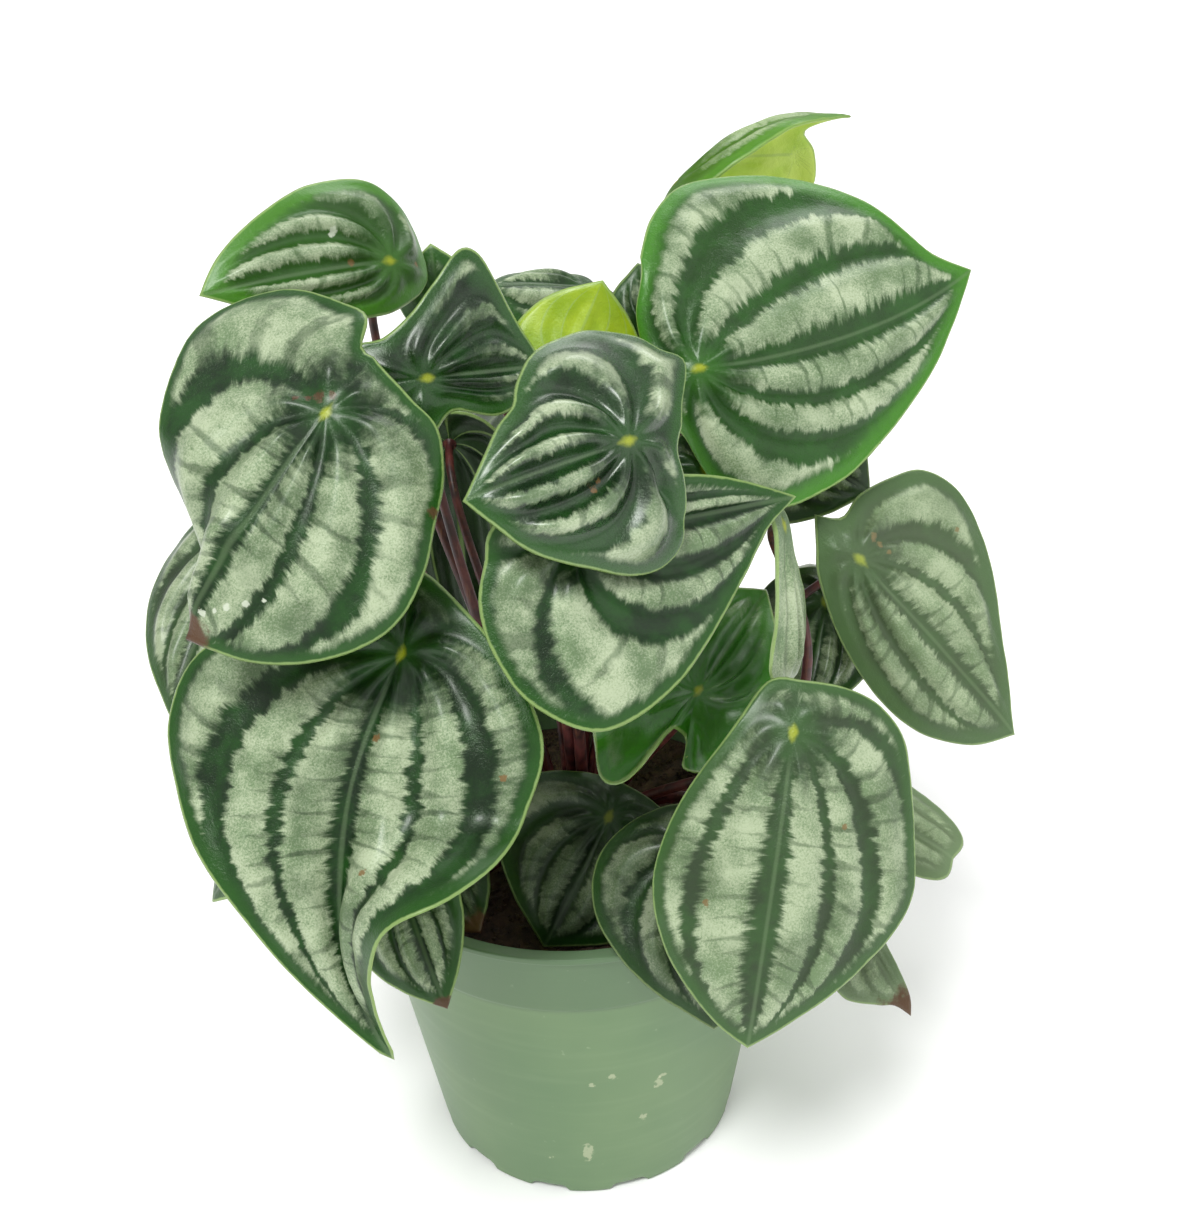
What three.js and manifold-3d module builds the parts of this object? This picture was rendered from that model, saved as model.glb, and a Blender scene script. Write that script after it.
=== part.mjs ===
// A potted watermelon peperomia, in millimetres, +Z up. The origin is the middle of the
// pot's flat underside, and the plant is seen from the front along +Y, with +X to the right.
import * as THREE from 'three';
import { mergeVertices } from 'three/addons/utils/BufferGeometryUtils.js';
import Module from 'manifold-3d';

const wasm = await Module();
wasm.setup();

// Pot: a tapered nursery pot with a rim band, a thick lip and notched feet.
const potHeight = 88.5;
const potBaseRadius = 37.8;
const potLipRadius = 53;
const potWall = 1.6;
const potFloor = 2.5;
const bandHeight = 18.8;
const bandStep = 0.7;
const lipHeight = 2;
const lipOverhang = 0.8;
const potSegments = 40;
const footCount = 12;
const notchWidth = 9.5;
const notchHeight = 1.6;
const notchDepth = 3;
const drainCount = 6;
const drainRadius = 3;
const drainCircle = 24;

// Soil and the crown that stands in a plain hole in it.
const soilTop = 79;
const soilDome = 1.5;
const seat = 0.3;
const crownRadius = 9;
const crownFoot = 72;
const crownTop = 86;

// Petioles: round, leaving the crown steeply and meeting each blade from below.
const petioleRadius = 1.35;
const petioleSides = 6;
const petioleSteps = 7;
const petioleRoot = { ring: 5, height: 80 };
const petioleRise = 0.38;
const petioleLean = 0.25;
const petioleTopReach = 26;
const petioleTopShare = 0.3;
const petioleGap = 1.5;

// Blades.
const bladeThickness = 1;
const bladeRings = [0.3, 0.65, 1];
const largeBladeRays = 24;
const smallBladeRays = 18;

const potGreen = 0x86a27e;
const soilBrown = 0x2b1d14;
const petioleRed = 0x4e1a1e;
const bladeGreen = 0x5f8a5c;

// What a blade has where its own entry doesn't say otherwise. Pairs are the blade's left and
// right half, seen from the petiole towards the tip with the upper face up.
//   spot, tip   where the petiole meets the blade, and the blade's point
//   faces       the way the upper face looks: degrees round from the front, degrees up
//   back        how far the blade reaches behind the spot
//   half        half widths, which left and right outlines reach
//   left, right outline points from the back to the tip: along the midrib, across it
//   arch        degrees that the midrib bends down over its length; backBend, behind the spot
//   lift, curl  degrees that each half rises at the midrib, and turns on its way to the edge
//   fold        degrees added to lift between the two foldAt parts of the midrib's length
//   bow, hook   sideways bend of the midrib, and of its last part
//   ruffles     edge waves: degrees round from the midrib, width in degrees, height
//   bend        moves of the petiole's two middle control points
const plainBlade = {
  back: 14, half: [28, 28], arch: 30, backBend: 15, lift: [0, 0], curl: [-25, -25],
  fold: [0, 0], foldAt: [0.3, 0.9], bow: 0, hook: 0, faces: [0, 40], ruffles: [],
  bend: [[0, 0, 0], [0, 0, 0]], rays: largeBladeRays,
};

// The plain ovate outline, as parts of the length and of the half width.
const ovate = [
  [0.01, 0.3], [0.08, 0.66], [0.2, 0.9], [0.36, 1], [0.52, 0.95], [0.68, 0.77], [0.82, 0.5],
  [0.93, 0.2],
];

const blades = {
  upper_left: {
    spot: [-33, 18, 217], tip: [-68, -2, 218], faces: [0, 30], back: 13,
    arch: 30, backBend: 20, lift: [-5, 0], curl: [-50, -20],
    left: [[-12, 4], [-6, 8], [4, 10.5], [18, 9.5], [31, 5]],
    right: [[-13, 8], [-11, 14], [-3, 19], [11, 19], [24, 14], [35, 7]],
  },
  scrap_left: {
    spot: [-25, 34, 203], tip: [-26, 38, 214], faces: [0, 30], back: 8,
    half: [9, 9], bend: [[21, 1, -7], [5, 3, 2]], rays: smallBladeRays,
  },
  far_left: {
    spot: [-65, 0, 165], tip: [-81.5, -30, 138], faces: [-30, 30], back: 14,
    half: [20, 22], arch: 25, curl: [-20, -20],
  },
  left_large: {
    spot: [-40, -38, 207], tip: [-67, -58, 173], faces: [-10, 38], back: 14,
    half: [34, 40], arch: 30, backBend: -3, lift: [-4, -6], curl: [-25, -20], fold: [0, -55],
    foldAt: [0.35, 0.95],
    left: [[-13, 3.5], [-11.5, 10.5], [-10, 17.5], [-3, 24], [5, 27.5], [13.5, 31], [24, 32],
      [32.5, 29], [40, 22.5], [46, 12.5]],
    right: [[-14.5, 3], [-20.5, 6.5], [-21, 14], [-19.5, 26], [-12, 34.5], [-3, 37.5], [7, 35],
      [17, 30], [28, 23.5], [39, 12.5]],
  },
  front_left: {
    spot: [-30, -45, 160], tip: [-40.5, -82, 92], faces: [-8, 42], back: 17,
    half: [34, 40], arch: 15, backBend: 10, lift: [5, 12], curl: [-10, -25], fold: [50, 8],
    foldAt: [0.35, 0.65], bow: 8, hook: -5, bend: [[0, 5, 8], [0, 0, 0]],
    left: [[-14, 5], [-4, 17], [13, 33], [28, 34], [40, 30], [50, 20], [66, 8]],
    right: [[-15, 10], [-9, 21], [-3, 32], [5, 40], [19, 39], [36, 31], [53, 18], [67, 8]],
  },
  inner_left: {
    spot: [-25, -5, 200], tip: [-1, 5, 198], faces: [10, 30], back: 14,
    half: [25, 12], arch: 10, lift: [5, 5], curl: [-10, -10],
    left: [[-13, 8], [-7, 9], [-1, 13], [5, 19], [11, 25], [15, 24], [18, 17], [21, 9]],
    right: [[-13, 5], [-8, 8], [-1, 11], [4, 7], [13, 9], [20, 6]],
  },
  back_middle: {
    spot: [9, 42, 201], tip: [-15, 33, 206], faces: [0, 88], back: 12,
    half: [20, 14], arch: 22, lift: [-45, 4], rays: smallBladeRays,
  },
  back_small: {
    spot: [3, 10, 196], tip: [11, 18, 211], faces: [10, -150], back: 8,
    half: [17, 13], arch: 20, lift: [5, 5], curl: [10, 10], rays: smallBladeRays,
  },
  behind_top: {
    spot: [23, 22, 197], tip: [19, 30, 211], faces: [0, 40], back: 8,
    half: [13, 13], arch: 20, rays: smallBladeRays,
  },
  top: {
    spot: [29, 52, 222], tip: [69, 64, 233], faces: [0, 85], back: 8,
    half: [28, 11], arch: 60, lift: [-57, 8],
    left: [[-8, 5], [-2, 9], [12, 20], [28, 27], [44, 28], [47, 21], [41, 12], [35, 6], [38, 3]],
    right: [[-8, 6], [2, 9], [14, 10], [28, 8], [38, 4]],
  },
  upper_right: {
    spot: [30, 0, 198], tip: [92, 32, 206], faces: [6, 36], back: 11,
    half: [42, 34], arch: 20, backBend: 55, lift: [-5, -5], curl: [-15, -15], bow: 5,
    left: [[-11, 8], [-9, 17], [-2, 25], [7, 38], [18, 46], [31, 45], [43, 39], [55, 26], [63, 9]],
    right: [[-11, 10], [-9, 24], [4, 31], [18, 29], [29, 25], [49, 15], [62, 6]],
  },
  centre: {
    spot: [14, -42, 201], tip: [-15, -55, 197], faces: [5, 35], back: 14,
    half: [26, 26], arch: 24, backBend: 4, lift: [-5, -5], curl: [-30, -20],
    bend: [[0, 0, 0], [-8, 0, 0]],
    left: [[-11, 4], [-11, 9.5], [-10, 17.5], [-7, 22.5], [-1.5, 25], [5.5, 24], [13.5, 20],
      [24, 13], [30, 4]],
    right: [[-17, 4.5], [-23.5, 13], [-20, 17], [-16.5, 21.5], [-8, 25], [0.5, 25], [8, 23],
      [14, 18], [17, 13.5], [21.5, 10.5], [26, 6]],
  },
  middle: {
    spot: [4, -45, 183], tip: [48, -20, 178], faces: [0, 30], back: 17,
    half: [10, 36], arch: 15, lift: [15, 0], curl: [15, 10], bend: [[0, 4, 10], [0, 0, 0]],
    left: [[-15, 5], [-8, 9], [8, 10], [30, 7]],
    right: [[-20, 8], [-19, 18], [-14, 28], [-3, 35], [14, 29], [32, 14], [42, 5]],
  },
  striped: {
    spot: [31, -2, 176], tip: [40, -12, 160], faces: [10, 50], back: 10,
    half: [16, 16], arch: 20, rays: smallBladeRays,
  },
  behind_right: {
    spot: [54, 24, 168], tip: [70, 18, 160], faces: [10, 50], back: 12,
    half: [18, 18], arch: 20, rays: smallBladeRays,
  },
  edge_on: {
    spot: [45, -21, 172], tip: [47.5, -27, 139], faces: [60, 10], back: 4,
    half: [7, 11], arch: 20, lift: [10, 10], bend: [[72, -12, 0], [16, 0, -1]],
    rays: smallBladeRays,
    left: [[-3, 2], [6, 2.6], [14, 4.4], [23, 6.4], [30, 6.4], [33, 3.5]],
    right: [[-3, 3], [8, 5], [20, 8], [28, 10], [33, 6]],
  },
  inner_right: {
    spot: [60, 14, 134], tip: [53, -6, 116], faces: [0, 30], back: 10,
    half: [16, 16], arch: 20, rays: smallBladeRays,
  },
  wavy: {
    spot: [28, -22, 134], tip: [45, 2, 145], faces: [0, 50], back: 9,
    half: [18, 15], arch: -10, backBend: 40, lift: [10, 10], curl: [15, 15],
    ruffles: [[-178, 20, 4], [-150, 14, -4], [155, 14, -4]],
    left: [[-13, 1.5], [-23, 3], [-26, 5], [-26, 8.5], [-22, 12.5], [-13, 17], [3, 18], [16, 14], [26, 7]],
    right: [[-10, 3], [-16, 6], [-13, 12], [-4, 15], [5, 15], [18, 10]],
  },
  right: {
    spot: [64, -5, 155], tip: [98, -18, 117], faces: [0, 40], back: 13.5,
    half: [31, 18], arch: 15, backBend: 5, lift: [-8, -10], curl: [-20, -25],
    left: [[-9, 4], [-10, 11], [-8, 20], [-4, 28], [5, 31], [18, 27], [37, 12], [47, 4]],
    right: [[-8, 5], [-3, 9], [10, 15], [25, 18], [38, 16], [48, 9]],
  },
  front_right: {
    spot: [45, -46, 139], tip: [34, -74, 83], faces: [2, 45], back: 11,
    half: [32, 25], arch: 20, backBend: 15, lift: [-4, -4], curl: [-25, -20],
    bend: [[0, 0, -6], [8, -4, -8]],
    left: [[-11, 10], [-8, 18], [-1, 24], [17, 29], [32, 30], [47, 20], [58, 8]],
    right: [[-10, 6], [1, 12], [18, 21], [34, 24], [48, 19], [59, 8]],
  },
  far_right: {
    spot: [50, -3, 99], tip: [86, -21, 86], faces: [20, 50], back: 8,
    half: [13, 12], arch: 20, rays: smallBladeRays,
    left: [[-7, 7], [6, 12], [24, 12], [38, 9], [43, 5]],
    right: [[-7, 7], [6, 12], [24, 11], [38, 8], [43, 5]],
  },
  dry_tip: {
    spot: [62, -36, 80], tip: [73, -46, 62.5], faces: [10, 30], back: 7,
    half: [5, 11], bend: [[22, -14, 27], [1, -2, 2]], rays: smallBladeRays,
    left: [[-6, 5], [3, 4], [12, 3], [19, 2]],
    right: [[-6, 7], [3, 11], [12, 11], [17, 5], [19, 2]],
  },
  low_right: {
    spot: [27, -45, 109], tip: [28, -66, 80], faces: [0, 42], back: 12,
    half: [25, 24], bend: [[12, 4, 0], [10, 6, 0]],
  },
  low_middle: {
    spot: [8, -25, 104], tip: [-7, -41, 82], faces: [0, 30], back: 9,
    half: [27, 23],
  },
  low_small: {
    spot: [-29, -25, 90], tip: [-21, -40, 86], faces: [-10, 45], back: 7,
    half: [9, 10], rays: smallBladeRays,
  },
  low_left: {
    spot: [-36, -42, 103], tip: [-27, -60, 83], faces: [-10, 40], back: 10,
    half: [11, 16], bend: [[-8, 4, 0], [-6, 4, 0]], rays: smallBladeRays,
  },
  inner_back: {
    spot: [-25, 31, 170], tip: [-24, 35, 108], faces: [180, 20], back: 10,
    half: [17, 18], arch: 15, rays: smallBladeRays,
  },
  rear_left: {
    spot: [-50, 40, 180], tip: [-82, 64, 152], faces: [-125, 45], back: 15,
    half: [27, 27], bend: [[-10, -8, -4], [-4, -5, -1]], rays: smallBladeRays,
  },
  rear_middle: {
    spot: [-8, 60, 168], tip: [-12, 94, 130], faces: [180, 40], back: 16,
    half: [30, 30], rays: smallBladeRays,
  },
  rear_right: {
    spot: [46, 58, 166], tip: [72, 88, 136], faces: [155, 45], back: 15,
    half: [30, 30], rays: smallBladeRays,
  },
  rear_far_right: {
    spot: [68, 36, 125], tip: [98, 48, 98], faces: [110, 40], back: 13,
    half: [25, 25], rays: smallBladeRays,
  },
  rear_low_left: {
    spot: [-58, 32, 118], tip: [-86, 46, 88], faces: [-115, 40], back: 14,
    half: [26, 26], rays: smallBladeRays,
  },
  rear_low_middle: {
    spot: [8, 52, 114], tip: [14, 88, 80], faces: [175, 42], back: 14,
    half: [28, 28], rays: smallBladeRays,
  },
  rear_low_right: {
    spot: [48, 54, 92], tip: [66, 78, 70], faces: [150, 50], back: 11,
    half: [21, 21], bend: [[0, 0, 8], [0, 0, 12]], rays: smallBladeRays,
  },
  side_left: {
    spot: [-56, -12, 112], tip: [-82, -24, 84], faces: [-70, 45], back: 12,
    half: [21, 21], rays: smallBladeRays,
  },
};

const vector = (p) => new THREE.Vector3(p[0], p[1], p[2]);
const radians = THREE.MathUtils.degToRad;

// The far end of an arc that leaves at one angle and turns by another over its length.
function arc(start, turn, length) {
  const end = start + turn;
  if (Math.abs(turn) < 1e-6) {
    return { along: length * Math.cos(start), rise: length * Math.sin(start), angle: end };
  }
  const radius = length / turn;
  return {
    along: radius * (Math.sin(end) - Math.sin(start)),
    rise: radius * (Math.cos(start) - Math.cos(end)),
    angle: end,
  };
}

// A blade's own axes: along its chord, out of its upper face, and towards its right half.
function bladeAxes(blade) {
  const spot = vector(blade.spot);
  const chord = vector(blade.tip).sub(spot);
  const along = chord.clone().normalize();
  const [round, up] = blade.faces.map(radians);
  const faces = new THREE.Vector3(
    Math.sin(round) * Math.cos(up), -Math.cos(round) * Math.cos(up), Math.sin(up),
  );
  const out = faces.addScaledVector(along, -faces.dot(along)).normalize();
  const right = along.clone().cross(out);
  const arch = radians(blade.arch);
  const length = chord.length() * (arch / 2) / Math.sin(arch / 2);
  return { spot, along, out, right, arch, length };
}

// The point of the blade that lies u along the midrib and v to the right of it when flat,
// and that far out on the way from the spot to the edge.
function bladePoint(blade, axes, u, v, reach) {
  const { spot, along, out, right, arch, length } = axes;
  const part = u / length;
  const ahead = Math.max(0, part);
  const share = Math.min(1, -Math.min(0, u) / blade.back);
  const backTurn = (arch / length) * blade.back + radians(blade.backBend);
  const rib = u >= 0
    ? arc(arch / 2, -arch * part, u)
    : arc(arch / 2, backTurn * share, u);
  const upward = out.clone().multiplyScalar(Math.cos(rib.angle));
  upward.addScaledVector(along, -Math.sin(rib.angle));

  const half = v < 0 ? 0 : 1;
  const width = blade.half[half];
  const folded = blade.fold[half] * THREE.MathUtils.smoothstep(part, ...blade.foldAt);
  const lift = radians(blade.lift[half] + folded);
  const across = arc(lift, radians(blade.curl[half]) * Math.abs(v) / width, Math.abs(v));
  const sideways = blade.bow * 4 * ahead * (1 - ahead) + blade.hook * ahead ** 6;

  const point = spot.clone();
  point.addScaledVector(along, rib.along);
  point.addScaledVector(out, rib.rise);
  point.addScaledVector(right, Math.sign(v) * across.along + sideways);
  point.addScaledVector(upward, across.rise + ruffle(blade, u, v) * reach ** 2);
  return point;
}

// How far the ruffled edge stands out of the blade in one direction from the spot.
function ruffle(blade, u, v) {
  const round = THREE.MathUtils.radToDeg(Math.atan2(v, u));
  let height = 0;
  for (const [centre, spread, rise] of blade.ruffles) {
    const off = THREE.MathUtils.euclideanModulo(round - centre + 180, 360) - 180;
    height += rise * Math.exp(-((off / spread) ** 2));
  }
  return height;
}

// The edge of one half, from the tip to the back, as flat points.
function halfOutline(blade, length, half, count) {
  const full = length + blade.back;
  const plain = ovate.map(([s, w]) => [s * full - blade.back, w * blade.half[half]]);
  const given = (half ? blade.right : blade.left) ?? plain;
  const points = [[-blade.back, 0], ...given, [length, 0]].map((p) => new THREE.Vector2(...p));
  const side = half ? 1 : -1;
  return new THREE.SplineCurve(points).getSpacedPoints(count).reverse()
    .map((p) => [p.x, side * p.y]);
}

// A closed blade: one sheet of rings round the spot, thickened to both sides.
function bladeGeometry(blade) {
  const axes = bladeAxes(blade);
  const rays = blade.rays;
  const edge = halfOutline(blade, axes.length, 1, rays / 2);
  edge.push(...halfOutline(blade, axes.length, 0, rays / 2).slice(1, -1).reverse());
  const points = [bladePoint(blade, axes, 0, 0, 0)];
  for (const ring of bladeRings) {
    for (const [u, v] of edge) points.push(bladePoint(blade, axes, u * ring, v * ring, ring));
  }
  const faces = [];
  for (let k = 0; k < rays; k += 1) faces.push([0, 1 + k, 1 + (k + 1) % rays]);
  for (let ring = 0; ring < bladeRings.length - 1; ring += 1) {
    const inner = 1 + ring * rays;
    const outer = inner + rays;
    for (let k = 0; k < rays; k += 1) {
      const next = (k + 1) % rays;
      faces.push([inner + k, outer + k, inner + next], [inner + next, outer + k, outer + next]);
    }
  }
  const sheet = new THREE.BufferGeometry().setFromPoints(points);
  sheet.setIndex(faces.flat());
  sheet.computeVertexNormals();
  const normals = sheet.getAttribute('normal');
  const side = Math.sign(axes.out.dot(new THREE.Vector3().fromBufferAttribute(normals, 0)));

  const shift = (i, amount) => points[i].clone()
    .addScaledVector(new THREE.Vector3().fromBufferAttribute(normals, i), side * amount);
  const upper = points.map((p, i) => shift(i, bladeThickness / 2));
  const lower = points.map((p, i) => shift(i, -bladeThickness / 2));
  const turn = (face) => (side > 0 ? face : [face[0], face[2], face[1]]);
  const under = points.length;
  const closed = faces.map(turn);
  for (const face of faces.map(turn)) {
    closed.push([face[0] + under, face[2] + under, face[1] + under]);
  }
  const rim = points.length - rays;
  for (let k = 0; k < rays; k += 1) {
    const here = rim + k;
    const next = rim + (k + 1) % rays;
    closed.push(turn([here, here + under, next]), turn([next, here + under, next + under]));
  }
  const geometry = new THREE.BufferGeometry().setFromPoints([...upper, ...lower]);
  geometry.setIndex(closed.flat());
  return geometry;
}

// A petiole from the crown up to just under its blade.
function petioleGeometry(blade) {
  const { spot, along, out, right, arch } = bladeAxes(blade);
  const round = Math.atan2(spot.y, spot.x);
  const outward = new THREE.Vector3(Math.cos(round), Math.sin(round), 0);
  const root = outward.clone().multiplyScalar(petioleRoot.ring);
  root.z = petioleRoot.height;
  const rising = outward.clone().multiplyScalar(petioleLean).setZ(1);

  // It meets the blade square on, midway between its two halves.
  const between = radians(blade.lift[1] - blade.lift[0]) / 2;
  const meeting = out.clone().multiplyScalar(Math.cos(arch / 2));
  meeting.addScaledVector(along, -Math.sin(arch / 2)).multiplyScalar(Math.cos(between));
  meeting.addScaledVector(right, -Math.sin(between));
  const top = spot.clone().addScaledVector(meeting, -petioleGap);
  const span = top.distanceTo(root);
  const low = root.clone().addScaledVector(rising, span * petioleRise).add(vector(blade.bend[0]));
  const high = top.clone()
    .addScaledVector(meeting, -Math.min(petioleTopReach, span * petioleTopShare))
    .add(vector(blade.bend[1]));
  const section = new THREE.Shape(
    Array.from({ length: petioleSides }, (_, k) => {
      const angle = (k / petioleSides) * 2 * Math.PI;
      return new THREE.Vector2(Math.cos(angle), Math.sin(angle)).multiplyScalar(petioleRadius);
    }),
  );
  return new THREE.ExtrudeGeometry(section, {
    steps: petioleSteps, bevelEnabled: false,
    extrudePath: new THREE.CubicBezierCurve3(root, low, high, top),
  });
}

// A turned solid about the Z axis from its half profile of [radius, height] points.
function turned(profile, segments) {
  const points = profile.map(([r, z]) => new THREE.Vector2(r, z));
  return new THREE.LatheGeometry(points, segments).rotateX(Math.PI / 2);
}

function solid(geometry) {
  const bare = geometry.clone();
  bare.deleteAttribute('normal');
  bare.deleteAttribute('uv');
  const merged = mergeVertices(bare, 1e-4);
  return new wasm.Manifold(new wasm.Mesh({
    numProp: 3,
    vertProperties: new Float32Array(merged.getAttribute('position').array),
    triVerts: new Uint32Array(merged.getIndex().array),
  }));
}

function geometryOf(manifold) {
  const mesh = manifold.getMesh();
  const geometry = new THREE.BufferGeometry();
  geometry.setAttribute('position', new THREE.BufferAttribute(mesh.vertProperties, 3));
  geometry.setIndex(new THREE.BufferAttribute(mesh.triVerts, 1));
  return geometry;
}

// The outside radius of the pot's tapered wall, and the inside one.
const bandBottom = potHeight - bandHeight;
const taper = (potLipRadius - lipOverhang - bandStep - potBaseRadius) / potHeight;
const outerRadius = (z) => potBaseRadius + taper * z;
const innerRadius = (z) => outerRadius(z) - potWall;

function pot() {
  const lipFoot = potHeight - lipHeight;
  let body = solid(turned([
    [0, 0],
    [potBaseRadius, 0],
    [outerRadius(bandBottom), bandBottom],
    [outerRadius(bandBottom) + bandStep, bandBottom + bandStep],
    [outerRadius(lipFoot) + bandStep, lipFoot],
    [potLipRadius, lipFoot + lipOverhang / 2],
    [potLipRadius, potHeight - 0.3],
    [potLipRadius - 0.3, potHeight],
    [innerRadius(potHeight) + 0.3, potHeight],
    [innerRadius(potHeight), potHeight - 0.3],
    [innerRadius(potFloor), potFloor],
    [0, potFloor],
  ], potSegments));
  for (let k = 0; k < footCount; k += 1) {
    const notch = new THREE.BoxGeometry(2 * notchDepth, notchWidth, 2 * notchHeight);
    notch.translate(potBaseRadius, 0, 0).rotateZ(((k + 0.5) / footCount) * 2 * Math.PI);
    body = body.subtract(solid(notch));
  }
  for (let k = 0; k < drainCount; k += 1) {
    const hole = new THREE.CylinderGeometry(drainRadius, drainRadius, 4 * potFloor, 12);
    hole.rotateX(Math.PI / 2).translate(drainCircle, 0, 0);
    hole.rotateZ((k / drainCount) * 2 * Math.PI);
    body = body.subtract(solid(hole));
  }
  return geometryOf(body);
}

function soil() {
  const bottom = potFloor + seat;
  const hole = crownRadius + seat;
  const edge = innerRadius(soilTop - 1) - seat;
  return turned([
    [0, bottom],
    [innerRadius(bottom) - seat, bottom],
    [edge, soilTop - 1],
    [edge - 3, soilTop],
    [edge / 2, soilTop + soilDome],
    [hole, soilTop + soilDome],
    [hole, crownFoot],
    [0, crownFoot],
  ], potSegments);
}

function crownAndPetioles() {
  let body = solid(turned([
    [0, crownFoot + seat],
    [crownRadius, crownFoot + seat],
    [crownRadius, soilTop + soilDome],
    [crownRadius * 0.8, crownTop - 2],
    [crownRadius * 0.4, crownTop],
    [0, crownTop],
  ], 16));
  for (const blade of Object.values(blades)) {
    body = body.add(solid(petioleGeometry({ ...plainBlade, ...blade })));
  }
  return geometryOf(body);
}

const plant = new THREE.Group();

function place(name, geometry, color, roughness) {
  const material = new THREE.MeshStandardMaterial({ color, roughness, metalness: 0 });
  const mesh = new THREE.Mesh(geometry, material);
  mesh.name = name;
  plant.add(mesh);
}

place('pot', pot(), potGreen, 0.5);
place('soil', soil(), soilBrown, 1);
place('crown_and_petioles', crownAndPetioles(), petioleRed, 0.5);
for (const [name, blade] of Object.entries(blades)) {
  place(`leaf_${name}`, bladeGeometry({ ...plainBlade, ...blade }), bladeGreen, 0.45);
}

export default plant;
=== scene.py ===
import math

import bpy
import bmesh
import numpy as np
from mathutils import Matrix, Vector


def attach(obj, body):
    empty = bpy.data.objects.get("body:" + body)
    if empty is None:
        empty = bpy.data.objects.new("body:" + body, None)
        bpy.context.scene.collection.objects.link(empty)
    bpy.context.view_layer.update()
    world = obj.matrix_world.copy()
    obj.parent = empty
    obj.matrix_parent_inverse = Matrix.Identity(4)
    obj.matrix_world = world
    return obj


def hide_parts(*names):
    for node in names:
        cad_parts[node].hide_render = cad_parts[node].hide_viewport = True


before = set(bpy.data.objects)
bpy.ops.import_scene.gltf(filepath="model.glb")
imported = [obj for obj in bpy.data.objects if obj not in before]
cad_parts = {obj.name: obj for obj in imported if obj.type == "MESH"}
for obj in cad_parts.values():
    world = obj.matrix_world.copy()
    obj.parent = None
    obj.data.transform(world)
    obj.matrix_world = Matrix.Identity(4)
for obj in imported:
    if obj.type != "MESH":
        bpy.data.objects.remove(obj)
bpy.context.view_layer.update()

# A potted watermelon peperomia. Lengths are in millimetres until a mesh is made.
mm = 0.001


def unit(v):
    return v / np.linalg.norm(v)


def smooth(low, high, x):
    t = np.clip((np.asarray(x, float) - low) / (high - low), 0, 1)
    return t * t * (3 - 2 * t)


def addObject(name, data):
    made = bpy.data.objects.new(name, data)
    bpy.context.collection.objects.link(made)
    return made


def addPiece(name, points, faces, material):
    mesh = bpy.data.meshes.new(name)
    mesh.from_pydata((np.asarray(points) * mm).tolist(), [], faces)
    mesh.shade_smooth()
    mesh.materials.append(material)
    return addObject(name, mesh)


def fromBmesh(name, built):
    mesh = bpy.data.meshes.new(name)
    built.to_mesh(mesh)
    built.free()
    return addObject(name, mesh)


# a modifier's result becomes the piece's own plain mesh
def applyModifier(piece, modifier):
    seen = piece.evaluated_get(bpy.context.evaluated_depsgraph_get())
    mesh = bpy.data.meshes.new_from_object(seen)
    piece.modifiers.remove(modifier)
    piece.data = mesh


# the camera stands in front, above the plant: its place in mm, its tilt and roll in degrees
view = {"place": (7.9, -306.6, 318.2), "down": 30, "roll": -2.2, "lens": 46.906}


def makeCamera():
    down, roll = math.radians(view["down"]), math.radians(view["roll"])
    ahead = Vector((0, math.cos(down), -math.sin(down)))
    right = Vector((1, 0, 0))
    up = right.cross(ahead)
    across = right * math.cos(roll) + up * math.sin(roll)
    upright = up * math.cos(roll) - right * math.sin(roll)
    data = bpy.data.cameras.new("camera")
    data.lens = view["lens"]
    data.sensor_width = 36
    data.clip_start = 0.01
    camera = addObject("camera", data)
    turn = Matrix((across, upright, -ahead)).transposed().to_4x4()
    camera.matrix_world = Matrix.Translation(Vector(view["place"]) * mm) @ turn
    bpy.context.scene.camera = camera


studio = {
    "world": 0.6,
    "lamps": [  # name, bearing and height of the light in degrees, strength, spread in degrees
        ("softKey", -24, 60, 2.3, 18),
        ("softFill", 62, 34, 0.45, 50),
        ("softBack", 160, 50, 0.8, 30),
    ],
}


def makeLight():
    world = bpy.data.worlds.new("studio")
    world.use_nodes = True
    air = world.node_tree.nodes["Background"]
    air.inputs["Color"].default_value = (1, 1, 1, 1)
    air.inputs["Strength"].default_value = studio["world"]
    bpy.context.scene.world = world
    for name, bearing, height, strength, spread in studio["lamps"]:
        data = bpy.data.lights.new(name, "SUN")
        data.energy = strength
        data.angle = math.radians(spread)
        lamp = addObject(name, data)
        turn, up = math.radians(bearing), math.radians(height)
        aim = Vector((-math.sin(turn) * math.cos(up), math.cos(turn) * math.cos(up), -math.sin(up)))
        lamp.rotation_euler = aim.to_track_quat("-Z", "Y").to_euler()
    bpy.context.scene.view_settings.view_transform = "Standard"


class Number:
    # a number in a shader: sums, products and the like add their own Math nodes
    def __init__(self, shader, socket):
        self.shader = shader
        self.socket = socket

    def math(self, operation, *others):
        return self.shader.add("Math", {"operation": operation}, self, *others)["Value"]

    def __add__(self, other):
        return self.math("ADD", other)

    __radd__ = __add__

    def __sub__(self, other):
        return self.math("SUBTRACT", other)

    def __rsub__(self, other):
        return self.shader.add("Math", {"operation": "SUBTRACT"}, other, self)["Value"]

    def __mul__(self, other):
        return self.math("MULTIPLY", other)

    __rmul__ = __mul__

    def __truediv__(self, other):
        return self.math("DIVIDE", other)

    def __abs__(self):
        return self.math("ABSOLUTE")


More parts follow.
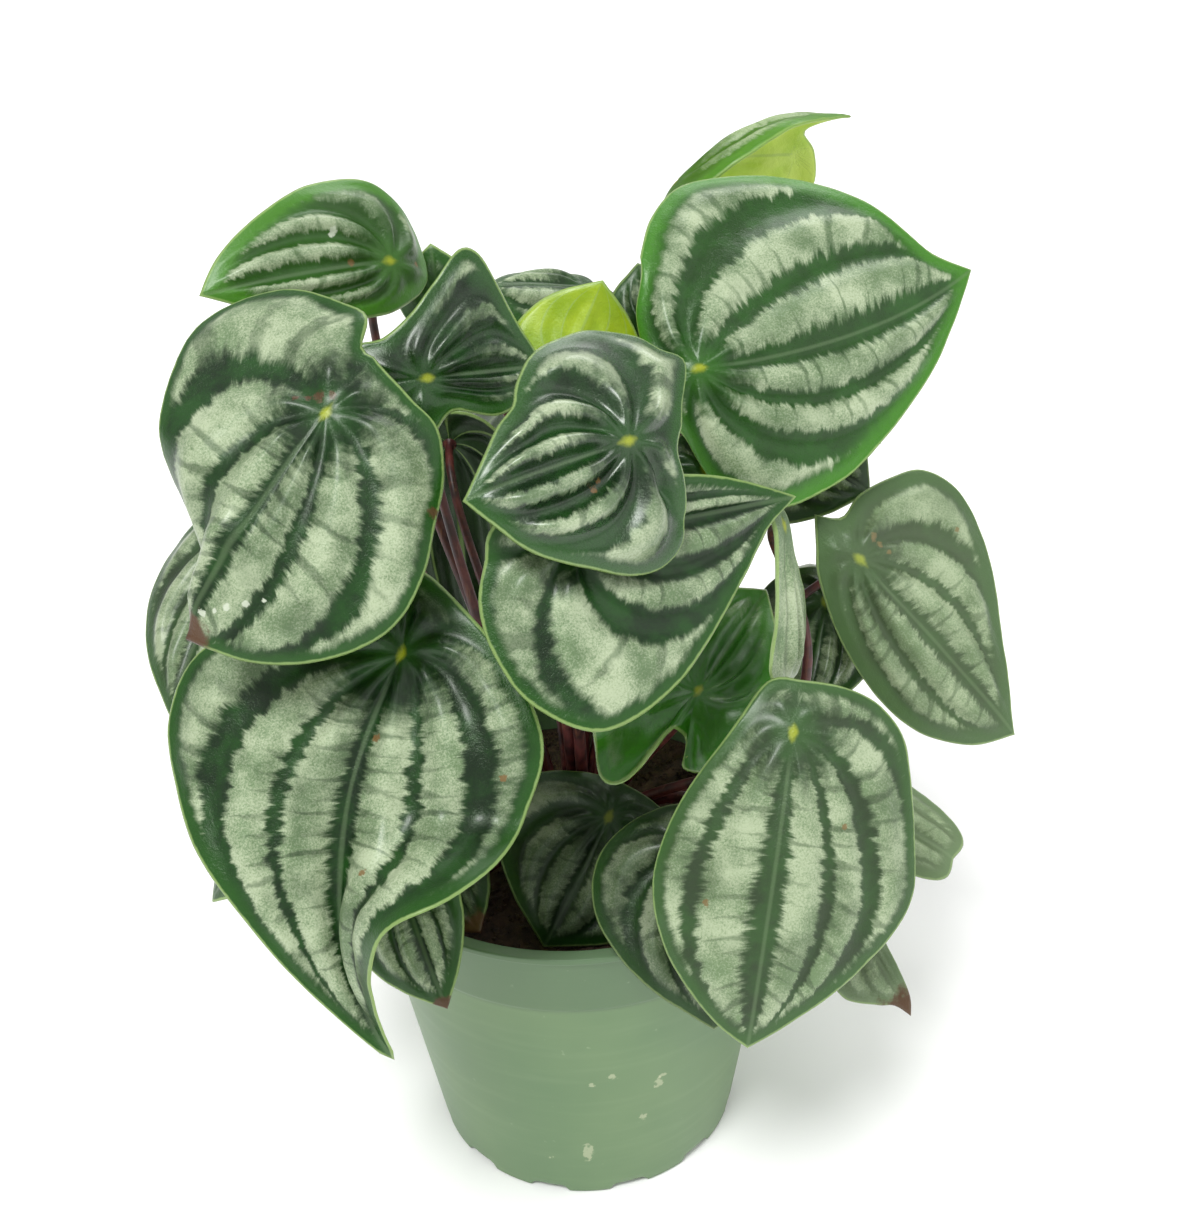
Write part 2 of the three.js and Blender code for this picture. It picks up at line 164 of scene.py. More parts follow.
class Shader:
    def __init__(self, name):
        self.material = bpy.data.materials.new(name)
        self.material.use_nodes = True
        self.tree = self.material.node_tree
        self.tree.nodes.clear()

    # a node of one type, with its settings first and then its sockets by order or by name
    def add(self, kind, settings=None, *values, **named):
        node = self.tree.nodes.new("ShaderNode" + kind)
        for key, value in (settings or {}).items():
            setattr(node, key, value)
        shown = [socket for socket in node.inputs if socket.enabled]
        sockets = dict(zip(shown, values))
        for key, value in named.items():
            wanted = key.replace("_", " ")
            sockets[next(socket for socket in shown if socket.name == wanted)] = value
        for socket, value in sockets.items():
            if isinstance(value, Number):
                value = value.socket
            if isinstance(value, bpy.types.NodeSocket):
                self.tree.links.new(value, socket)
            elif value is not None:
                socket.default_value = value
        return {out.name: Number(self, out) for out in node.outputs if out.enabled}

    def step(self, x, low, high):
        settings = {"interpolation_type": "SMOOTHSTEP"}
        return self.add("MapRange", settings, x, low, high, 0.0, 1.0)["Result"]

    def noise(self, where, scale, detail=2.0, roughness=0.5):
        return self.add("TexNoise", None, Vector=where, Scale=scale, Detail=detail,
                        Roughness=roughness)["Fac"]

    def mix(self, factor, a, b):
        return self.add("Mix", {"data_type": "RGBA"}, Factor=factor, A=a, B=b)["Result"]

    def vector(self, x, y, z=0.0):
        return self.add("CombineXYZ", None, x, y, z)["Vector"]

    def parts(self, vector):
        out = self.add("SeparateXYZ", None, vector)
        return out["X"], out["Y"], out["Z"]

    def map(self, name):
        return self.add("UVMap", {"uv_map": name})["UV"]

    def field(self, name):
        return self.add("Attribute", {"attribute_name": name})["Fac"]

    def place(self):
        return self.add("TexCoord")["Object"]

    def bump(self, height, strength, distance):
        return self.add("Bump", None, Strength=strength, Distance=distance * mm,
                        Height=height)["Normal"]

    def surface(self, shader):
        self.tree.links.new(
            shader.socket, self.tree.nodes.new("ShaderNodeOutputMaterial").inputs["Surface"])
        return self.material


def rgb(r, g, b):
    # a colour given as it looks on screen, 0 to 255
    def linear(c):
        c /= 255
        return c / 12.92 if c <= 0.04045 else ((c + 0.055) / 1.055) ** 2.4
    return (linear(r), linear(g), linear(b), 1.0)


# blades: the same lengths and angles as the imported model's
plainBlade = {
    "back": 14, "half": (28, 28), "arch": 30, "backBend": 15, "lift": (0, 0),
    "curl": (-25, -25), "fold": (0, 0), "foldAt": (0.3, 0.9), "bow": 0, "hook": 0,
    "faces": (0, 40), "ruffles": (), "bend": ((0, 0, 0), (0, 0, 0)),
}
ovate = ((0.01, 0.3), (0.08, 0.66), (0.2, 0.9), (0.36, 1), (0.52, 0.95), (0.68, 0.77),
         (0.82, 0.5), (0.93, 0.2))
blades = {
    "upper_left": {
        "spot": (-33, 18, 217), "tip": (-68, -2, 218), "faces": (0, 30), "back": 13,
        "backBend": 20, "lift": (-5, 0), "curl": (-50, -20),
        "left": ((-12, 4), (-6, 8), (4, 10.5), (18, 9.5), (31, 5)),
        "right": ((-13, 8), (-11, 14), (-3, 19), (11, 19), (24, 14), (35, 7)),
    },
    "scrap_left": {
        "spot": (-25, 34, 203), "tip": (-26, 38, 214), "faces": (0, 30), "back": 8,
        "half": (9, 9), "bend": ((21, 1, -7), (5, 3, 2)),
    },
    "far_left": {
        "spot": (-65, 0, 165), "tip": (-81.5, -30, 138), "faces": (-30, 30), "half": (20, 22),
        "arch": 25, "curl": (-20, -20),
    },
    "left_large": {
        "spot": (-40, -38, 207), "tip": (-67, -58, 173), "faces": (-10, 38), "half": (34, 40),
        "backBend": -3, "lift": (-4, -6), "curl": (-25, -20), "fold": (0, -55),
        "foldAt": (0.35, 0.95),
        "left": ((-13, 3.5), (-11.5, 10.5), (-10, 17.5), (-3, 24), (5, 27.5), (13.5, 31),
         (24, 32), (32.5, 29), (40, 22.5), (46, 12.5)),
        "right": ((-14.5, 3), (-20.5, 6.5), (-21, 14), (-19.5, 26), (-12, 34.5), (-3, 37.5),
         (7, 35), (17, 30), (28, 23.5), (39, 12.5)),
    },
    "front_left": {
        "spot": (-30, -45, 160), "tip": (-40.5, -82, 92), "faces": (-8, 42), "back": 17,
        "half": (34, 40), "arch": 15, "backBend": 10, "lift": (5, 12), "curl": (-10, -25),
        "fold": (50, 8), "foldAt": (0.35, 0.65), "bow": 8, "hook": -5,
        "bend": ((0, 5, 8), (0, 0, 0)),
        "left": ((-14, 5), (-4, 17), (13, 33), (28, 34), (40, 30), (50, 20), (66, 8)),
        "right": ((-15, 10), (-9, 21), (-3, 32), (5, 40), (19, 39), (36, 31), (53, 18), (67, 8)),
    },
    "inner_left": {
        "spot": (-25, -5, 200), "tip": (-1, 5, 198), "faces": (10, 30), "half": (25, 12),
        "arch": 10, "lift": (5, 5), "curl": (-10, -10),
        "left": ((-13, 8), (-7, 9), (-1, 13), (5, 19), (11, 25), (15, 24), (18, 17), (21, 9)),
        "right": ((-13, 5), (-8, 8), (-1, 11), (4, 7), (13, 9), (20, 6)),
    },
    "back_middle": {
        "spot": (9, 42, 201), "tip": (-15, 33, 206), "faces": (0, 88), "back": 12,
        "half": (20, 14), "arch": 22, "lift": (-45, 4),
    },
    "back_small": {
        "spot": (3, 10, 196), "tip": (11, 18, 211), "faces": (10, -150), "back": 8,
        "half": (17, 13), "arch": 20, "lift": (5, 5), "curl": (10, 10),
    },
    "behind_top": {
        "spot": (23, 22, 197), "tip": (19, 30, 211), "back": 8, "half": (13, 13), "arch": 20,
    },
    "top": {
        "spot": (29, 52, 222), "tip": (69, 64, 233), "faces": (0, 85), "back": 8,
        "half": (28, 11), "arch": 60, "lift": (-57, 8),
        "left": ((-8, 5), (-2, 9), (12, 20), (28, 27), (44, 28), (47, 21), (41, 12), (35, 6),
         (38, 3)), "right": ((-8, 6), (2, 9), (14, 10), (28, 8), (38, 4)),
    },
    "upper_right": {
        "spot": (30, 0, 198), "tip": (92, 32, 206), "faces": (6, 36), "back": 11,
        "half": (42, 34), "arch": 20, "backBend": 55, "lift": (-5, -5), "curl": (-15, -15),
        "bow": 5,
        "left": ((-11, 8), (-9, 17), (-2, 25), (7, 38), (18, 46), (31, 45), (43, 39), (55, 26),
         (63, 9)), "right": ((-11, 10), (-9, 24), (4, 31), (18, 29), (29, 25), (49, 15), (62, 6)),
    },
    "centre": {
        "spot": (14, -42, 201), "tip": (-15, -55, 197), "faces": (5, 35), "half": (26, 26),
        "arch": 24, "backBend": 4, "lift": (-5, -5), "curl": (-30, -20),
        "bend": ((0, 0, 0), (-8, 0, 0)),
        "left": ((-11, 4), (-11, 9.5), (-10, 17.5), (-7, 22.5), (-1.5, 25), (5.5, 24),
         (13.5, 20), (24, 13), (30, 4)),
        "right": ((-17, 4.5), (-23.5, 13), (-20, 17), (-16.5, 21.5), (-8, 25), (0.5, 25),
         (8, 23), (14, 18), (17, 13.5), (21.5, 10.5), (26, 6)),
    },
    "middle": {
        "spot": (4, -45, 183), "tip": (48, -20, 178), "faces": (0, 30), "back": 17,
        "half": (10, 36), "arch": 15, "lift": (15, 0), "curl": (15, 10),
        "bend": ((0, 4, 10), (0, 0, 0)), "left": ((-15, 5), (-8, 9), (8, 10), (30, 7)),
        "right": ((-20, 8), (-19, 18), (-14, 28), (-3, 35), (14, 29), (32, 14), (42, 5)),
    },
    "striped": {
        "spot": (31, -2, 176), "tip": (40, -12, 160), "faces": (10, 50), "back": 10,
        "half": (16, 16), "arch": 20,
    },
    "behind_right": {
        "spot": (54, 24, 168), "tip": (70, 18, 160), "faces": (10, 50), "back": 12,
        "half": (18, 18), "arch": 20,
    },
    "edge_on": {
        "spot": (45, -21, 172), "tip": (47.5, -27, 139), "faces": (60, 10), "back": 4,
        "half": (7, 11), "arch": 20, "lift": (10, 10), "bend": ((72, -12, 0), (16, 0, -1)),
        "left": ((-3, 2), (6, 2.6), (14, 4.4), (23, 6.4), (30, 6.4), (33, 3.5)),
        "right": ((-3, 3), (8, 5), (20, 8), (28, 10), (33, 6)),
    },
    "inner_right": {
        "spot": (60, 14, 134), "tip": (53, -6, 116), "faces": (0, 30), "back": 10,
        "half": (16, 16), "arch": 20,
    },
    "wavy": {
        "spot": (28, -22, 134), "tip": (45, 2, 145), "faces": (0, 50), "back": 9,
        "half": (18, 15), "arch": -10, "backBend": 40, "lift": (10, 10), "curl": (15, 15),
        "ruffles": ((-178, 20, 4), (-150, 14, -4), (155, 14, -4)),
        "left": ((-13, 1.5), (-23, 3), (-26, 5), (-26, 8.5), (-22, 12.5), (-13, 17), (3, 18),
         (16, 14), (26, 7)),
        "right": ((-10, 3), (-16, 6), (-13, 12), (-4, 15), (5, 15), (18, 10)),
    },
    "right": {
        "spot": (64, -5, 155), "tip": (98, -18, 117), "back": 13.5, "half": (31, 18), "arch": 15,
        "backBend": 5, "lift": (-8, -10), "curl": (-20, -25),
        "left": ((-9, 4), (-10, 11), (-8, 20), (-4, 28), (5, 31), (18, 27), (37, 12), (47, 4)),
        "right": ((-8, 5), (-3, 9), (10, 15), (25, 18), (38, 16), (48, 9)),
    },
    "front_right": {
        "spot": (45, -46, 139), "tip": (34, -74, 83), "faces": (2, 45), "back": 11,
        "half": (32, 25), "arch": 20, "lift": (-4, -4), "curl": (-25, -20),
        "bend": ((0, 0, -6), (8, -4, -8)),
        "left": ((-11, 10), (-8, 18), (-1, 24), (17, 29), (32, 30), (47, 20), (58, 8)),
        "right": ((-10, 6), (1, 12), (18, 21), (34, 24), (48, 19), (59, 8)),
    },
    "far_right": {
        "spot": (50, -3, 99), "tip": (86, -21, 86), "faces": (20, 50), "back": 8,
        "half": (13, 12), "arch": 20, "left": ((-7, 7), (6, 12), (24, 12), (38, 9), (43, 5)),
        "right": ((-7, 7), (6, 12), (24, 11), (38, 8), (43, 5)),
    },
    "dry_tip": {
        "spot": (62, -36, 80), "tip": (73, -46, 62.5), "faces": (10, 30), "back": 7,
        "half": (5, 11), "bend": ((22, -14, 27), (1, -2, 2)),
        "left": ((-6, 5), (3, 4), (12, 3), (19, 2)),
        "right": ((-6, 7), (3, 11), (12, 11), (17, 5), (19, 2)),
    },
    "low_right": {
        "spot": (27, -45, 109), "tip": (28, -66, 80), "faces": (0, 42), "back": 12,
        "half": (25, 24), "bend": ((12, 4, 0), (10, 6, 0)),
    },
    "low_middle": {
        "spot": (8, -25, 104), "tip": (-7, -41, 82), "faces": (0, 30), "back": 9,
        "half": (27, 23),
    },
    "low_small": {
        "spot": (-29, -25, 90), "tip": (-21, -40, 86), "faces": (-10, 45), "back": 7,
        "half": (9, 10),
    },
    "low_left": {
        "spot": (-36, -42, 103), "tip": (-27, -60, 83), "faces": (-10, 40), "back": 10,
        "half": (11, 16), "bend": ((-8, 4, 0), (-6, 4, 0)),
    },
    "inner_back": {
        "spot": (-25, 31, 170), "tip": (-24, 35, 108), "faces": (180, 20), "back": 10,
        "half": (17, 18), "arch": 15,
    },
    "rear_left": {
        "spot": (-50, 40, 180), "tip": (-82, 64, 152), "faces": (-125, 45), "back": 15,
        "half": (27, 27), "bend": ((-10, -8, -4), (-4, -5, -1)),
    },
    "rear_middle": {
        "spot": (-8, 60, 168), "tip": (-12, 94, 130), "faces": (180, 40), "back": 16,
        "half": (30, 30),
    },
    "rear_right": {
        "spot": (46, 58, 166), "tip": (72, 88, 136), "faces": (155, 45), "back": 15,
        "half": (30, 30),
    },
    "rear_far_right": {
        "spot": (68, 36, 125), "tip": (98, 48, 98), "faces": (110, 40), "back": 13,
        "half": (25, 25),
    },
    "rear_low_left": {
        "spot": (-58, 32, 118), "tip": (-86, 46, 88), "faces": (-115, 40), "half": (26, 26),
    },
    "rear_low_middle": {
        "spot": (8, 52, 114), "tip": (14, 88, 80), "faces": (175, 42),
    },
    "rear_low_right": {
        "spot": (48, 54, 92), "tip": (66, 78, 70), "faces": (150, 50), "back": 11,
        "half": (21, 21), "bend": ((0, 0, 8), (0, 0, 12)),
    },
    "side_left": {
        "spot": (-56, -12, 112), "tip": (-82, -24, 84), "faces": (-70, 45), "back": 12,
        "half": (21, 21),
    },
}

bladeForm = {
    "rays": 144, "rings": 30, "firstRing": 0.012, "lastRings": (0.955, 0.972, 0.988, 1.0),
    "thickness": 1.0, "rimWidth": 0.35, "rimThinning": 0.35,
    "gather": (0.55, 1.3),  # how far and how fast the veins draw together towards the edge
    "knotSteps": 24, "edgeWander": 0.125, "edgeWaves": (5, 9, 14, 23),
    "swells": 6, "broadSwell": (0.11, 0.19), "fineSwell": (0.5, 0.035),  # waves a mm, height
    "underside": 0.9,  # how much of the relief shows below
}
# what the maps of a blade span: vein numbers, mm along the midrib, mm of the flat sheet
mapSpan = {"veins": 16, "along": 100, "sheet": 200}


def bladeAxes(blade):
    spot = np.array(blade["spot"], float)
    chord = np.array(blade["tip"], float) - spot
    along = unit(chord)
    turn, up = np.radians(blade["faces"])
    faces = np.array((math.sin(turn) * math.cos(up), -math.cos(turn) * math.cos(up), math.sin(up)))
    out = unit(faces - along * faces.dot(along))
    arch = math.radians(blade["arch"])
    length = np.linalg.norm(chord) * (arch / 2) / math.sin(arch / 2)
    return {"spot": spot, "along": along, "out": out, "right": np.cross(along, out),
            "arch": arch, "length": length}


# the far end of an arc that leaves at one angle and turns by another over its length
def arcEnd(start, turn, length):
    turn = np.where(np.abs(turn) < 1e-6, 1e-6, turn)
    end = start + turn
    radius = length / turn
    return radius * (np.sin(end) - np.sin(start)), radius * (np.cos(start) - np.cos(end)), end


# points of the blade's middle sheet, from flat places u along the midrib and v across it
def bladePoints(blade, axes, u, v, reach):
    arch, length = axes["arch"], axes["length"]
    part = u / length
    ahead = np.maximum(0, part)
    share = np.minimum(1, -np.minimum(0, u) / blade["back"])
    backTurn = arch / length * blade["back"] + math.radians(blade["backBend"])
    ribX, ribY, angle = arcEnd(arch / 2, np.where(u >= 0, -arch * part, backTurn * share), u)
    upward = np.cos(angle)[:, None] * axes["out"] - np.sin(angle)[:, None] * axes["along"]
    side = (v >= 0).astype(int)
    width = np.array(blade["half"], float)[side]
    folded = np.array(blade["fold"], float)[side] * smooth(*blade["foldAt"], part)
    lift = np.radians(np.array(blade["lift"], float)[side] + folded)
    curl = np.radians(np.array(blade["curl"], float)[side])
    acrossX, acrossY, _ = arcEnd(lift, curl * np.abs(v) / width, np.abs(v))
    sideways = blade["bow"] * 4 * ahead * (1 - ahead) + blade["hook"] * ahead ** 6
    ruffle = np.zeros(len(u))
    for centre, spread, rise in blade["ruffles"]:
        off = (np.degrees(np.arctan2(v, u)) - centre + 180) % 360 - 180
        ruffle += rise * np.exp(-((off / spread) ** 2))
    return (axes["spot"] + ribX[:, None] * axes["along"] + ribY[:, None] * axes["out"]
            + (np.sign(v) * acrossX + sideways)[:, None] * axes["right"]
            + (acrossY + ruffle * reach ** 2)[:, None] * upward)


# the edge of one half from the tip to the back, evenly spaced along its curve
def halfEdge(blade, length, half, count):
    full = length + blade["back"]
    given = blade.get(("left", "right")[half])
    if given is None:
        given = [(s * full - blade["back"], w * blade["half"][half]) for s, w in ovate]
    knots = np.array([(-blade["back"], 0), *given, (length, 0)], float)
    before = np.vstack((knots[:1], knots[:-2]))
    after = np.vstack((knots[2:], knots[-1:]))
    fine = []
    for p0, p1, p2, p3 in zip(before, knots[:-1], knots[1:], after):
        t = np.linspace(0, 1, bladeForm["knotSteps"], endpoint=False)[:, None]
        a, b = (p2 - p0) / 2, (p3 - p1) / 2
        fine.append((2 * p1 - 2 * p2 + a + b) * t ** 3 + (3 * p2 - 3 * p1 - 2 * a - b) * t ** 2
                    + a * t + p1)
    fine = np.vstack(fine + [knots[-1:]])
    run = np.concatenate(((0,), np.cumsum(np.linalg.norm(np.diff(fine, axis=0), axis=1))))
    at = np.linspace(0, run[-1], count + 1)
    edge = np.stack([np.interp(at, run, fine[:, i]) for i in (0, 1)], 1)[::-1]
    return edge * (1, 1 if half else -1)


def gridNormals(points, faces):
    corners = points[faces]
    face = np.cross(corners[:, 2] - corners[:, 0], corners[:, 3] - corners[:, 1])
    normals = np.zeros_like(points)
    for i in range(4):
        np.add.at(normals, faces[:, i], face)
    return normals / np.maximum(np.linalg.norm(normals, axis=1), 1e-12)[:, None]


# which vein each flat place lies nearest: whole numbers are veins, halves lie between two
def veinNumber(u, v, reach, edge, veins):
    form = bladeForm
    turn = np.abs(np.arctan2(v, u)) / math.pi
    outward = reach.copy()
    for side in (-1, 1):
        half = edge[edge[:, 1] * side >= 0]
        half = half[np.argsort(half[:, 0])]
        here = (v * side >= 0) & (u > 0)
        width = np.interp(u[here], half[:, 0], np.abs(half[:, 1]))
        outward[here] = np.clip(np.abs(v[here]) / np.maximum(width, 0.01), 0, 1)
    far, speed = form["gather"]
    label = turn + (1 - turn) * far * outward ** speed
    left, right = (np.interp(label, given, np.arange(len(given))) for given in veins)
    return np.where(v < 0, left, right)


# the edge as flat places, one for each ray from the tip round, and the same places on the rim
def bladeEdge(blade, length, draw):
    form = bladeForm
    rays, half = form["rays"], form["rays"] // 2
    edge = halfEdge(blade, length, 1, half)
    edge = np.vstack((edge, halfEdge(blade, length, 0, half)[1:-1][::-1]))
    turns = np.linspace(0, 2 * math.pi, rays, endpoint=False)
    wander = sum(np.sin(n * turns + draw.uniform(0, 6.3)) / n ** 0.7 for n in form["edgeWaves"])
    calm = smooth(0, 6, np.minimum(np.arange(rays), rays - np.arange(rays)))
    pull = np.maximum(np.linalg.norm(edge, axis=1), 1)
    edge = edge * (1 + form["edgeWander"] * wander * calm / pull)[:, None]
    return edge, edge * (1 + form["rimWidth"] / pull)[:, None]


def runDistance(flat, start, end):
    run = end - start
    t = np.clip(((flat - start) @ run) / max(run @ run, 1e-9), 0, 1)
    return np.linalg.norm(flat - start - t[:, None] * run, axis=1)


def edgeDistance(flat, edge):
    nearest = np.full(len(flat), 1e9)
    for start, end in zip(edge, np.roll(edge, -1, axis=0)):
        nearest = np.minimum(nearest, runDistance(flat, start, end))
    return nearest


# height above the plain sheet: quilted between the veins and level at the spot
def bladeRelief(flat, toEdge, number, look, draw):
    form = bladeForm
    fromSpot = np.hypot(*flat.T)
    band = np.abs((number + 0.5) % 1 - 0.5)
    near = smooth(1.5, 9, fromSpot)
    lump = (smooth(0.04, 0.46, band) * smooth(0.5, 7, toEdge) - 0.35) * near
    lump *= look["quilting"] * 2
    for size, height in (form["broadSwell"], form["fineSwell"]):
        swell = sum(np.sin(flat @ draw.normal(0, size, 2) + draw.uniform(0, 6.3))
                    for _ in range(form["swells"]))
        lump += swell * height * smooth(0, 12, fromSpot)
    for u0, v0, u1, v1, width, height in look["ridges"]:
        off = runDistance(flat, np.array((u0, v0), float), np.array((u1, v1), float))
        lump += height * near * np.exp(-((off / width) ** 2))
    return lump


# maps a corner at a time, because left and right meet behind the spot, and fields by point
def mapBlade(mesh, flat, outer, number, toEdge, length):
    rays, count = len(outer), len(flat)
    vertex = np.empty(len(mesh.loops), np.int32)
    mesh.loops.foreach_get("vertex_index", vertex)
    corners = np.empty(len(mesh.polygons), np.int32)
    mesh.polygons.foreach_get("loop_total", corners)
    face = np.repeat(np.arange(len(corners)), corners)
    places = np.vstack((flat, flat, outer, (0, 0), (0, 0)))
    side = np.where(np.bincount(face, places[vertex, 1]) < 0, -1, 1)[face]
    numbers = np.concatenate((number, number, number[-rays:], (0, 0)))[vertex]
    toTip = np.hypot(places[:, 0] - length, places[:, 1])
    fromSpot = np.hypot(*places.T)
    along = fromSpot / np.maximum(fromSpot + toTip, 0.1) * length
    veins = np.stack((numbers * side / mapSpan["veins"] + 0.5,
                      along[vertex] / mapSpan["along"]), 1)
    sheet = places[vertex] / mapSpan["sheet"] + 0.5
    under = np.concatenate((np.zeros(count), np.ones(count), np.full(rays, 0.5), (0, 1)))
    inward = np.concatenate((toEdge, toEdge, np.zeros(rays), (20, 20)))

    # the upper side fills the left half of the baked map and the lower side the right half
    low, high = places.min(0), places.max(0)
    baked = (places[vertex] - low) / (high - low).max() * (0.47, 0.94) + (0.015, 0.03)
    lowerFace = np.bincount(face, under[vertex]) / corners > 0.6
    baked[lowerFace[face], 0] += 0.5
    for key, values in (("OFBake", baked), ("veins", veins), ("sheet", sheet)):
        layer = mesh.uv_layers.new(name=key)
        layer.data.foreach_set("uv", values.astype(np.float32).ravel())
    for key, values in (("toEdge", inward), ("under", under), ("toTip", toTip)):
        mesh.attributes.new(key, "FLOAT", "POINT").data.foreach_set(
            "value", values.astype(np.float32))


def makeBlade(name, blade, look, seed):
    form = bladeForm
    rays, lastRings = form["rays"], form["lastRings"]
    draw = np.random.default_rng(seed)
    axes = bladeAxes(blade)
    edge, outer = bladeEdge(blade, axes["length"], draw)
    inner = np.linspace(form["firstRing"], 1, form["rings"] - 3) ** 0.9 * lastRings[0]
    reaches = np.concatenate((inner, lastRings[1:]))
    reach = np.repeat(reaches, rays)
    flat = (edge[None] * reaches[:, None, None]).reshape(-1, 2)
    u, v = flat.T
    centre = bladePoints(blade, axes, u, v, reach)
    ring = np.arange(rays)
    after = (ring + 1) % rays
    quads = np.concatenate([np.stack((k * rays + ring, (k + 1) * rays + ring,
                                      (k + 1) * rays + after, k * rays + after), 1)
                            for k in range(len(reaches) - 1)])
    normals = gridNormals(centre, quads)
    if normals[0].dot(axes["out"]) < 0:
        normals = -normals

    toEdge = edgeDistance(flat, edge)
    number = veinNumber(u, v, reach, edge, look["veins"])
    lump = bladeRelief(flat, toEdge, number, look, draw)
    thick = form["thickness"] / 2 * (1 - form["rimThinning"] * smooth(0.95, 1, reach))
    upper = centre + normals * (thick + lump)[:, None]
    lower = centre - normals * (thick - lump * form["underside"])[:, None]
    rim = centre[-rays:] - centre[-3 * rays:-2 * rays]
    rim = centre[-rays:] + rim / np.linalg.norm(rim, axis=1)[:, None] * form["rimWidth"]
    rim += normals[-rays:] * lump[-rays:, None]
    points = np.vstack((upper, lower, rim, upper[:rays].mean(0), lower[:rays].mean(0)))

    # both sheets, their closed middles and the rim that joins them
    count = len(centre)
    last = count - rays
    top, bottom = len(points) - 2, len(points) - 1
    faces = [tuple(quad) for quad in quads]
    faces += [(a + count, d + count, c + count, b + count) for a, b, c, d in quads]
    for i, j in zip(ring, after):
        faces += [(top, i, j), (bottom, j + count, i + count),
                  (last + i, 2 * count + i, 2 * count + j, last + j),
                  (2 * count + i, last + count + i, last + count + j, 2 * count + j)]
    first = points[list(faces[0])]
    if np.cross(first[2] - first[0], first[3] - first[1]).dot(axes["out"]) < 0:
        faces = [tuple(reversed(face)) for face in faces]
    piece = addPiece("blade_" + name, points, faces, bladeMaterial("leafy_" + name, look))
    mapBlade(piece.data, flat, outer, number, toEdge, axes["length"])
    return piece


leafColors = {
    "silver": rgb(180, 193, 160), "silverDeep": rgb(104, 128, 90), "dark": rgb(24, 66, 18),
    "darkDeep": rgb(4, 28, 6), "rim": rgb(150, 178, 104), "spot": rgb(150, 160, 24),
    "brown": rgb(84, 54, 36), "rust": rgb(124, 92, 54), "white": rgb(206, 214, 194),
    # a painted sheen: a flat grey-green veil mixed over a whole leaf in place of the reflection on
    # its surface
    "paintedSheen": rgb(128, 146, 110), "shadow": rgb(6, 14, 4),
}
# how close the spots of each kind of unevenness lie, in waves a metre
leafGrain = {"cloud": 110.0, "blot": 420.0, "pebble": 900.0, "fray": 1300.0, "grain": 2600.0}
plainLook = {
    "quilting": 0.85,  # half the height of the silver ridges between the veins, in mm
    "veins": ((0, 0.27, 0.52, 0.78, 1), (0, 0.27, 0.52, 0.78, 1)),  # shares of each half turn
    "darkWidths": (0.17, 0.12, 0.2, 0.12, 0.12),  # of the dark band along each vein
    "ragged": 0.56, "ticks": 0.6, "tickSpacing": 3.4,
    "margin": 3.0, "centre": 9.0,  # mm without silver along the edge and round the spot
    "green": rgb(32, 80, 16), "bright": 0.0, "pale": 0.0, "paintedSheen": 0.0, "shade": 1.0,
    "gloss": 0.36, "coat": 0.3, "through": 0.08, "glow": (0.3, 0.45, 0.08, 1),
    "below": (rgb(104, 142, 50), rgb(150, 180, 70)), "tipBrown": 0.0,
    "marks": (),  # place along and across, radius in mm, colour
    "ridges": (),  # from, to, half width and height in mm
}
